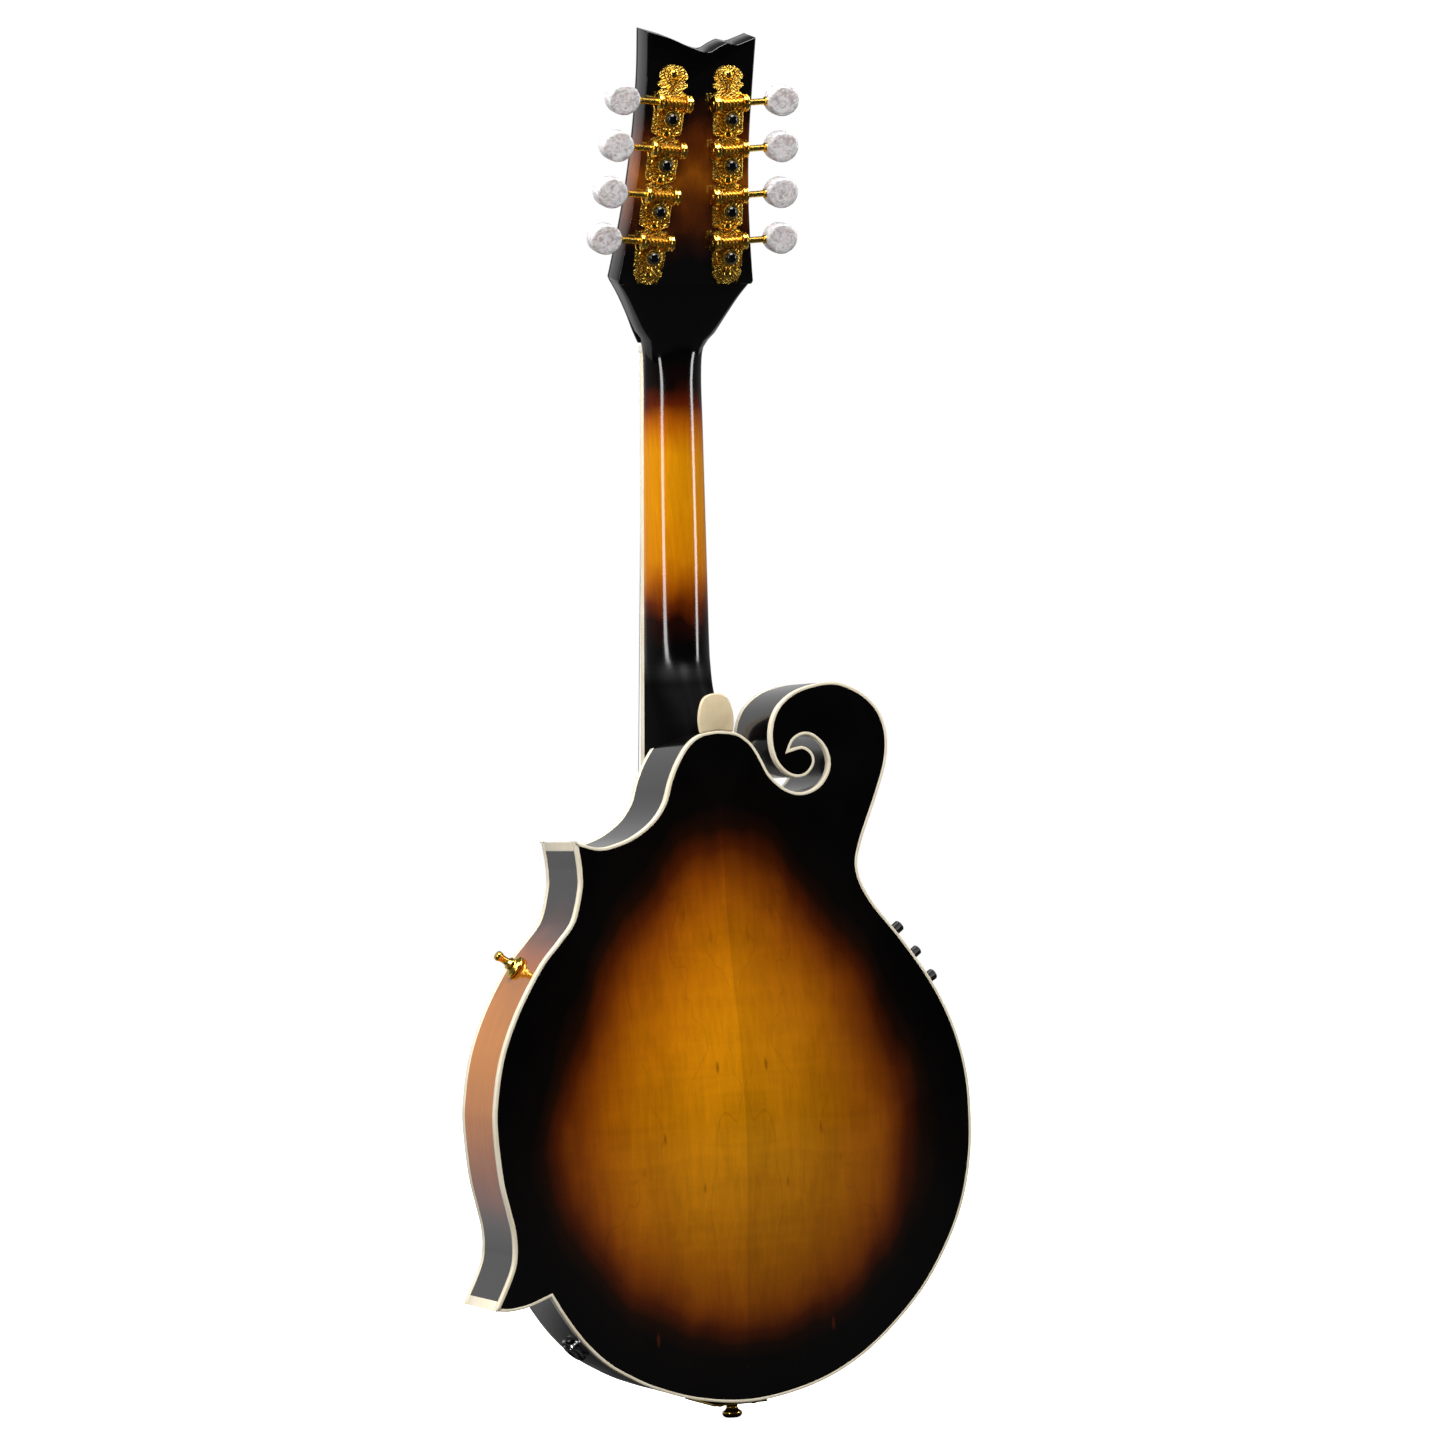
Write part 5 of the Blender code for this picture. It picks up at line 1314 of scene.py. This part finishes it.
def knurled_wheel(radius, thickness, bore, notches, lip=0.35):
    """A thumbwheel on +Z with notches round its rim."""
    bm = notched_disc(radius, 2 * notches, lambda place: 1.0 if place % 2 else 0.95, thickness)
    shifted(bm, z=-thickness / 2)
    caps = [f for f in bm.faces if abs(f.normal.z) > 0.9]
    bmesh.ops.inset_region(bm, faces=caps, thickness=lip, depth=lip * 0.5, use_even_offset=True)
    return shaped_by(bm, "DIFFERENCE", rod(bore, -thickness * 2, thickness * 2, 24))


# Stands a slab drawn as (x, depth) across the top at the bridge's place.
ACROSS_BRIDGE = Matrix(((1, 0, 0, 0), (0, 0, 1, 0), (0, 1, 0, BRIDGE_Z), (0, 0, 0, 1)))

class MANDOLIN_OT_bridge(bpy.types.Operator):
    """Build the bridge's base on the top's arch, the saddle over it, its posts and its two wheels"""
    bl_idname = "mandolin.bridge"
    bl_label = "Bridge"

    def execute(self, context):
        settings = context.scene.mandolin_fittings
        under = [(-56 + 4 * k, -arch_height(-56 + 4 * k, BRIDGE_Z) - 0.15) for k in range(29)]
        over = [(56, -9.0), (48, -11.2), (40, -14.6), (36, -15.2), (20, -14.4), (0, -14.0)]
        over += [(-x, y) for x, y in over[-2::-1]]
        arc = smooth_run(over, 2.0) + [Vector(over[-1])]
        base = placed(slab(under + [(p.x, p.y) for p in arc], -5.0, 5.0, 0.5), ACROSS_BRIDGE)
        parts = [painted(base, 0)]
        for x in (STUD_X, -STUD_X):
            thread = spiral([(1.3, -0.3), (1.5, 0.0), (1.3, 0.3)], 0.8, 14.0, 16)
            stud = join(rod(1.35, -27.0, -12.0, 20), thread)
            stud = placed(stud, Matrix.Rotation(math.radians(-90), 4, "X"))
            parts.append(painted(shifted(stud, x, 0.0, BRIDGE_Z), 1))
        piece("bridge_foot", join(*parts), BODY_PLANE, "instrument", ["rosewood", "gold_plain"],
              ["bridge_base"])
        top = STRING_BRIDGE_Y + 0.75
        profile = [(-48, -20.6), (-40, -19.3), (-30, -19.3), (-16, -20.4), (0, -20.8), (16, -20.4),
                   (30, -19.3), (40, -19.3), (48, -20.6), (46, -23.5), (34, top + 0.6), (20, top), (-20, top),
                   (-34, top + 0.6), (-46, -23.5)]
        saddle = placed(slab(profile, -3.2, 3.2, 0.45), ACROSS_BRIDGE)
        for vert in saddle.verts:
            thin = max(0.0, min(1.0, (-24.0 - vert.co.y) / 3.5))
            vert.co.z = BRIDGE_Z + (vert.co.z - BRIDGE_Z) * (1.0 - 0.55 * thin)
        cuts = [placed(rod(1.8, -40.0, -10.0, 16), towards((0, 1, 0), (x, 0, BRIDGE_Z)))
                for x in (STUD_X, -STUD_X)]
        for x, gauge in string_bridge_places():
            cut = rod(gauge / 2 + 0.05, -8.0, 8.0, 10, 0.02)
            cuts.append(shifted(cut, x, STRING_BRIDGE_Y - gauge / 2 + 0.25, BRIDGE_Z))
        saddle = shaped_by(saddle, "DIFFERENCE", join(*cuts))
        piece("saddle_slotted", saddle, BODY_PLANE, "saddle", "rosewood", ["bridge_saddle"])
        for name, x in (("wheel_bass", -STUD_X), ("wheel_treble", STUD_X)):
            wheel = placed(knurled_wheel(5.6, 2.0, 1.7, settings.wheel_knurls), towards((0, 1, 0)))
            piece("knurled_" + name, shifted(wheel, x, -17.75, BRIDGE_Z), BODY_PLANE, name, "gold_plain",
                  ["bridge_" + name])
        return {"FINISHED"}


class MANDOLIN_OT_tailpiece(bpy.types.Operator):
    """Build the string anchor, its sliding cover, the end button and the side pin"""
    bl_idname = "mandolin.tailpiece"
    bl_label = "Tailpiece and pins"

    def execute(self, context):
        side = [(-10.0, -448), (-8.7, -448), (-1.4, TAIL_Z - 0.6), (35, TAIL_Z - 0.6), (35, TAIL_Z - 1.9),
                (-2.8, TAIL_Z - 1.9)]
        parts = [painted(bar(side, -14.5, 14.5, 0.35), 0)]
        for x in (-10.5, -7.5, -4.5, -1.5, 1.5, 4.5, 7.5, 10.5):
            hook = sweep([(x, -6.0, -494.6), (x, -7.6, -494.4), (x, -8.5, -493.4), (x, -8.6, -492.0),
                          (x, -7.9, -490.9)], 0.6, 10)
            parts.append(painted(hook, 0))
        for x in (-9.0, 9.0):
            for y in (30.0, 8.0):
                screw = placed(screw_head(1.9), towards((0, 0, -1), (x, y, TAIL_Z - 1.9)))
                parts.append(painted(screw, 1))
        piece("string_anchor", join(*parts), BODY_PLANE, "instrument", ["gold_plain", "gold_worn"],
              ["tailpiece_base"])
        piece("anchor_cover", self.cover(), BODY_PLANE, "cover", "engraved_gold",
              ["tailpiece_cover"])
        button = turned([(0, -534.2), (3.4, -534.15), (4.3, -533.7), (4.85, -532.9), (5.0, -532.0),
                         (4.7, -531.2), (3.6, -530.5), (3.0, -529.6), (2.75, -528.6), (3.0, -527.9),
                         (4.4, -527.4), (4.7, -526.9), (4.6, TAIL_Z - 1.95),
                         (2.9, TAIL_Z - 1.95), (2.9, -508.0), (0, -508.0)], 40)
        piece("end_button_turned", shifted(button, y=BUTTON_Y), BODY_PLANE, "instrument", "gold_plain",
              ["end_button"])
        pin = turned([(0, 0.3), (6.1, 0.3), (6.2, 0.9), (5.9, 1.6), (4.8, 2.3), (3.6, 2.8), (3.3, 3.4),
                      (3.3, 4.6), (2.6, 5.2), (2.0, 5.8), (1.85, 7.4), (1.95, 9.2), (2.35, 9.9),
                      (2.55, 10.9), (2.4, 11.9), (1.9, 12.5), (0, 12.7)], 36)
        pin = placed(pin, towards((0.815, 0, 0.58), (100.6, 15.5, -303.7)))
        piece("side_pin_turned", pin, BODY_PLANE, "instrument", "gold_plain", ["side_pin"])
        return {"FINISHED"}

    def cover(self):
        """The sliding cover: a bent shell, open at both ends, that follows the top down to the tail."""
        edge = [(-17.2, 0), (-17.1, 0.55), (-16.2, 0.84), (-14.2, 0.98), (-7, 1.0), (0, 1.0)]
        edge += [(-x, height) for x, height in edge[-2::-1]]
        section = smooth_run(edge, 1.0) + [Vector(edge[-1])]
        inner = [Vector((p.x * 0.93, p.y * 0.88)) for p in reversed(section)]
        rings = []
        for k in range(18):
            front = k / 17
            z = -522.0 + 85.0 * front
            foot = -1.7 - 6.7 * front
            crown = -9.5 - 11.0 * front - 0.8 * math.sin(math.pi * front)
            rings.append([Vector((p.x, foot + (crown - foot) * p.y, z)) for p in section + inner])
        return soften(lofted(rings), 0.25, 2, 50.0)


# ---------------------------------------------------------------- electrics

# The preamp's knobs: their names, places on the rib as (x, z) and radii.
KNOBS = (("knob_volume", (-94.3, -298.9), 2.9), ("knob_bass", (-103.6, -311.5), 2.6),
         ("knob_treble", (-111.3, -323.7), 2.9))

class MANDOLIN_OT_electrics(bpy.types.Operator):
    """Build the preamp's panel, its three knobs and the output jack"""
    bl_idname = "mandolin.electrics"
    bl_label = "Electrics"

    def execute(self, context):
        settings = context.scene.mandolin_fittings
        loop = [p for p in smooth_run(LOWER_BOUT, 2.0) if -335 < p.y < -283 and p.x < -70]
        ahead = [(b - a).normalized() for a, b in zip(loop, loop[1:])]
        ahead.append(ahead[-1])
        out = [Vector((-d.y, d.x)) for d in ahead]
        face = [p + n * 1.4 for p, n in zip(loop, out)] + [p - n * 0.3 for p, n in zip(loop[::-1], out[::-1])]
        parts = [painted(slab(face, 20.0, 42.0, 0.5, 3), 0)]
        for along, depth in ((3, 22.2), (3, 39.8), (len(loop) - 4, 22.2), (len(loop) - 4, 39.8)):
            spot = loop[along] + out[along] * 1.4
            parts.append(painted(placed(screw_head(1.2), towards((out[along].x, 0, out[along].y),
                                                                 (spot.x, depth, spot.y))), 1))
        piece("preamp_face", join(*parts), BODY_PLANE, "instrument", ["black_plastic", "nickel_wire"],
              ["preamp_panel"])
        for name, place, radius in KNOBS:
            nearest = min(range(len(loop)), key=lambda i: (loop[i] - Vector(place)).length)
            normal = Vector((out[nearest].x, 0, out[nearest].y))
            foot = Vector((place[0], 33.0, place[1])) + normal * 2.1
            knob = knurled_knob(radius, 6.3, settings.knob_grips)
            piece(name + "_gripped", placed(knob, towards(normal, foot)), BODY_PLANE, name,
                  ["black_plastic", "bone"], [name])
        out_of_rib = Vector((0.70, 0, -0.714)).normalized()
        jack = turned([(0, -24.0), (5.4, -24.0), (5.4, 0.5), (7.3, 0.6), (7.4, 1.0), (7.1, 1.9), (6.2, 2.2),
                       (5.5, 2.3), (5.3, 2.8), (5.35, 3.3), (4.9, 3.6), (3.25, 3.6), (3.25, -22.0),
                       (0, -22.0)], 40)
        nut = soften(notched_disc(6.9, 6, lambda place: 1.0, 1.5), 0.2)
        nut = shaped_by(shifted(nut, z=1.2), "DIFFERENCE", rod(5.2, -5.0, 9.0, 32))
        whole = join(painted(jack, 0), painted(nut, 1))
        whole = placed(whole, towards(out_of_rib, (82.0, BUTTON_Y, -492.4)))
        piece("jack_and_nut", whole, BODY_PLANE, "instrument",
              ["chrome", "dark_bore"], ["output_jack"])
        return {"FINISHED"}


def knurled_knob(radius, height, grips):
    """A small knob on +Z with ridges round it, a domed end and a pointer line."""
    bm = notched_disc(radius, 2 * grips, lambda place: 1.0 if place % 2 else 0.93, height - 0.6)
    top = [f for f in bm.faces if f.normal.z > 0.9]
    bmesh.ops.inset_region(bm, faces=top, thickness=0.5, depth=0.6, use_even_offset=True)
    mark = block((0.5, -0.22, height - 0.25), (radius - 0.75, 0.22, height + 0.02))
    return join(painted(bm, 0), painted(mark, 1))


# ---------------------------------------------------------------- strings

STRING_NAMES = ["e_1", "e_2", "a_1", "a_2", "d_1", "d_2", "g_1", "g_2"]
STRING_GAUGES = [0.30, 0.30, 0.38, 0.38, 0.66, 0.66, 1.00, 1.00]


def string_nut_places():
    """Where each string crosses the nut, with its thickness."""
    return [((1.5 - i // 2) * 2 * 4.0 + (1.1 if i % 2 == 0 else -1.1), gauge)
            for i, gauge in enumerate(STRING_GAUGES)]


def string_bridge_places():
    """Where each string crosses the saddle, with its thickness."""
    return [((1.5 - i // 2) * 2 * 6.6 + (1.5 if i % 2 == 0 else -1.5), gauge)
            for i, gauge in enumerate(STRING_GAUGES)]


class MANDOLIN_OT_strings(bpy.types.Operator):
    """Build the eight strings from their posts to the tailpiece, and their windings on the posts"""
    bl_idname = "mandolin.strings"
    bl_label = "Strings"

    def execute(self, context):
        settings = context.scene.mandolin_fittings
        to_body = BODY_PLANE.inverted()
        at_nut, at_bridge = string_nut_places(), string_bridge_places()
        for index, (label, gauge) in enumerate(zip(STRING_NAMES, STRING_GAUGES)):
            radius = gauge / 2
            side = 1 if index < 4 else -1
            slot = 3 - index if index < 4 else index - 4
            side_name = "treble" if side > 0 else "bass"
            row = row_plane(side)
            leave = to_body @ row @ Vector((-side * (2.35 + radius), -3.4, -TUNER_PITCH * slot))
            hook_x = 9.0 - 18.0 * index / 7
            nut = to_body @ NECK_PLANE @ Vector((at_nut[index][0], -STRING_OVER_NUT - radius, 2.4))
            bridge = Vector((at_bridge[index][0], STRING_BRIDGE_Y - radius + 0.2, BRIDGE_Z))
            path = [leave, nut, bridge, Vector((hook_x, -9.2 - radius, -489.6)),
                    Vector((hook_x * 1.06, -7.8 - radius, -492.6))]
            wire = sweep(path, radius, 10)
            ball = bmesh.new()
            bmesh.ops.create_uvsphere(ball, u_segments=12, v_segments=8, radius=1.0)
            ball = shifted(ball, hook_x * 1.06, -7.6, -493.4)
            finish_name = "plain_string" if index < 4 else "wound_string"
            piece("strung_" + label, join(painted(wire, 0), painted(ball, 1)), BODY_PLANE, "instrument",
                  [finish_name, "gold_worn"], ["string_" + label])
            coil = spiral([(2.3 + radius + radius * math.cos(a), radius * math.sin(a))
                           for a in [2 * math.pi * k / 8 for k in range(8)]], 2.1 * radius + 0.05,
                          settings.post_windings, 20)
            coil = placed(shifted(coil, z=-3.4 - radius), towards((0, 1, 0), (0, 0, -TUNER_PITCH * slot)))
            piece("winding_" + label, coil, row, "post_" + side_name + "_" + str(slot + 1), finish_name)
        return {"FINISHED"}


# ---------------------------------------------------------------- inside

INSIDE_FINISHES = {
    "neck_block": "bare_spruce", "tail_block": "bare_spruce", "tone_bar_bass": "bare_spruce",
    "tone_bar_treble": "bare_spruce", "truss_rod": "brushed_steel", "preamp_box": "black_plastic",
    "pickup": "brass_disc",
}


class MANDOLIN_OT_inside(bpy.types.Operator):
    """Give the pieces inside the body their finishes"""
    bl_idname = "mandolin.inside"
    bl_label = "Inside"

    def execute(self, context):
        for node, name in INSIDE_FINISHES.items():
            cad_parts[node].material_slots[0].material = finish_for(name)
        return {"FINISHED"}


# ---------------------------------------------------------------- stage

DIM_FLOOR = (0.02, 0.02, 0.02, 1.0)
CAMERA_AZIMUTH = math.radians(156.882)
CAMERA_ELEVATION = math.radians(-0.331)
CAMERA_ROLL = math.radians(-2.779)
CAMERA_TARGET = Vector((-0.02285, -0.013, -0.18738))
CAMERA_DISTANCE = 2.5
CAMERA_LENS = 123.1


def area_light(name, place, target, width, height, power):
    """A soft rectangular light that the camera doesn't see."""
    data = bpy.data.lights.new(name, "AREA")
    data.shape = "RECTANGLE"
    data.size = width
    data.size_y = height
    data.energy = power
    made = bpy.data.objects.new(name, data)
    bpy.context.scene.collection.objects.link(made)
    aim = (Vector(target) - Vector(place)).to_track_quat("-Z", "Y")
    made.matrix_world = Matrix.Translation(place) @ aim.to_matrix().to_4x4()
    made.visible_camera = False
    return made


class MANDOLIN_OT_stage(bpy.types.Operator):
    """Build the pale floor, the soft lights, the surroundings and the camera"""
    bl_idname = "mandolin.stage"
    bl_label = "Stage"

    def execute(self, context):
        settings = context.scene.mandolin_stage
        self.floor(settings)
        for name, place in (("left", (1.25, 0.875, 0.0)), ("right", (-1.335, 0.74, 0.0))):
            area_light("side_light_" + name, place, (0, 0, -0.05), 0.26, 0.72, settings.side_light)
        for name, place, share in (("back", (0.1, 1.0, 1.25), 1.0), ("front", (0.1, -1.0, 1.25), 0.8),
                                   ("left", (1.3, 0.1, 1.1), 1.0), ("right", (-1.3, 0.1, 1.1), 0.5)):
            made = area_light("top_light_" + name, place, (0, 0, -0.3), 1.1, 1.0, settings.top_light * share)
            made.visible_glossy = name != "front"
        self.surroundings()
        self.camera()
        context.scene.view_settings.view_transform = "Standard"
        return {"FINISHED"}

    def floor(self, settings):
        """A floor that is white to the camera and dim to everything else."""
        bm = bmesh.new()
        bmesh.ops.create_grid(bm, x_segments=1, y_segments=1, size=4.0)
        level = CAD_BOUNDS[0].z - 0.0004
        bmesh.ops.translate(bm, vec=(0, 0, level), verts=bm.verts)
        mesh = bpy.data.meshes.new("floor")
        bm.to_mesh(mesh)
        bm.free()
        floor = bpy.data.objects.new("floor", mesh)
        bpy.context.scene.collection.objects.link(floor)
        made = Finish("pale_floor", 0.9)
        made.shader.inputs["Specular IOR Level"].default_value = 0.0
        seen = made.add("ShaderNodeLightPath").outputs["Is Camera Ray"]
        made.colour(made.mix(seen, DIM_FLOOR, settings.floor_colour))
        made.shader.inputs["Emission Color"].default_value = (1.0, 1.0, 1.0, 1.0)
        front_glow = made.fade(made.axes["Y"], -250.0, -80.0, 0.4, 0.0)
        made.feed(made.shader.inputs["Emission Strength"], made.math("MAXIMUM", seen, front_glow))
        mesh.materials.append(made.material)

    def surroundings(self):
        """White behind what is seen; a room that is bright at the sides and dark in front of each plate."""
        world = bpy.data.worlds.new("studio")
        bpy.context.scene.world = world
        world.use_nodes = True
        nodes, links = world.node_tree.nodes, world.node_tree.links
        nodes.clear()
        direction = nodes.new("ShaderNodeTexCoord").outputs["Generated"]
        split = nodes.new("ShaderNodeSeparateXYZ")
        links.new(direction, split.inputs[0])
        room = nodes.new("ShaderNodeValToRGB")
        stops = [(0.0, 0.45), (0.08, 0.45), (0.14, 0.12), (0.45, 0.08), (0.60, 0.05), (0.74, 0.012),
                 (1.0, 0.010)]
        elements = room.color_ramp.elements
        while len(elements) < len(stops):
            elements.new(0.5)
        for element, (position, level) in zip(elements, stops):
            element.position = position
            element.color = (level, level, level, 1.0)
        half = nodes.new("ShaderNodeMapRange")
        half.inputs["From Min"].default_value = -1.0
        links.new(split.outputs["Y"], half.inputs["Value"])
        links.new(half.outputs[0], room.inputs["Fac"])
        seen = nodes.new("ShaderNodeBackground")
        seen.inputs["Color"].default_value = (1.0, 1.0, 1.0, 1.0)
        lit = nodes.new("ShaderNodeBackground")
        links.new(room.outputs["Color"], lit.inputs["Color"])
        path = nodes.new("ShaderNodeLightPath")
        choose = nodes.new("ShaderNodeMixShader")
        output = nodes.new("ShaderNodeOutputWorld")
        links.new(path.outputs["Is Camera Ray"], choose.inputs[0])
        links.new(lit.outputs[0], choose.inputs[1])
        links.new(seen.outputs[0], choose.inputs[2])
        links.new(choose.outputs[0], output.inputs[0])

    def camera(self):
        """A long lens that looks at the back of the instrument."""
        data = bpy.data.cameras.new("camera")
        data.lens = CAMERA_LENS
        data.sensor_width = 36.0
        made = bpy.data.objects.new("camera", data)
        bpy.context.scene.collection.objects.link(made)
        a, e, r = CAMERA_AZIMUTH, CAMERA_ELEVATION, CAMERA_ROLL
        back = Vector((math.sin(a) * math.cos(e), -math.cos(a) * math.cos(e), math.sin(e)))
        right = Vector((math.cos(a), math.sin(a), 0.0))
        up = back.cross(right)
        across = right * math.cos(r) + up * math.sin(r)
        above = up * math.cos(r) - right * math.sin(r)
        turn = Matrix((across, above, back)).transposed().to_4x4()
        made.matrix_world = Matrix.Translation(CAMERA_TARGET + back * CAMERA_DISTANCE) @ turn
        bpy.context.scene.camera = made


# ---------------------------------------------------------------- panel and registration

OPERATORS = (MANDOLIN_OT_body, MANDOLIN_OT_neck, MANDOLIN_OT_fingerboard, MANDOLIN_OT_tuners,
             MANDOLIN_OT_bridge, MANDOLIN_OT_tailpiece, MANDOLIN_OT_electrics,
             MANDOLIN_OT_strings, MANDOLIN_OT_inside,
             MANDOLIN_OT_stage)
SETTINGS = {"mandolin_body": MANDOLIN_PG_body, "mandolin_neck": MANDOLIN_PG_neck,
            "mandolin_tuners": MANDOLIN_PG_tuners, "mandolin_fittings": MANDOLIN_PG_fittings,
            "mandolin_stage": MANDOLIN_PG_stage}


class MANDOLIN_PT_panel(bpy.types.Panel):
    """The settings and the steps that build the mandolin"""
    bl_label = "Mandolin"
    bl_idname = "MANDOLIN_PT_panel"
    bl_space_type = "VIEW_3D"
    bl_region_type = "UI"
    bl_category = "Mandolin"

    def draw(self, context):
        for name, group in SETTINGS.items():
            box = self.layout.box()
            for field in group.__annotations__:
                box.prop(getattr(context.scene, name), field)
        for operator in OPERATORS:
            self.layout.operator(operator.bl_idname)


def register():
    for group in SETTINGS.values():
        bpy.utils.register_class(group)
    for operator in OPERATORS:
        bpy.utils.register_class(operator)
    bpy.utils.register_class(MANDOLIN_PT_panel)
    for name, group in SETTINGS.items():
        setattr(bpy.types.Scene, name, PointerProperty(type=group))


def unregister():
    for name in SETTINGS:
        delattr(bpy.types.Scene, name)
    bpy.utils.unregister_class(MANDOLIN_PT_panel)
    for group in (*OPERATORS, *SETTINGS.values()):
        bpy.utils.unregister_class(group)


def main():
    """Build every piece in order."""
    register()
    for operator in OPERATORS:
        group, name = operator.bl_idname.split(".")
        if getattr(getattr(bpy.ops, group), name)() != {"FINISHED"}:
            raise RuntimeError(operator.bl_label + " was not built")


if __name__ == "__main__":
    main()
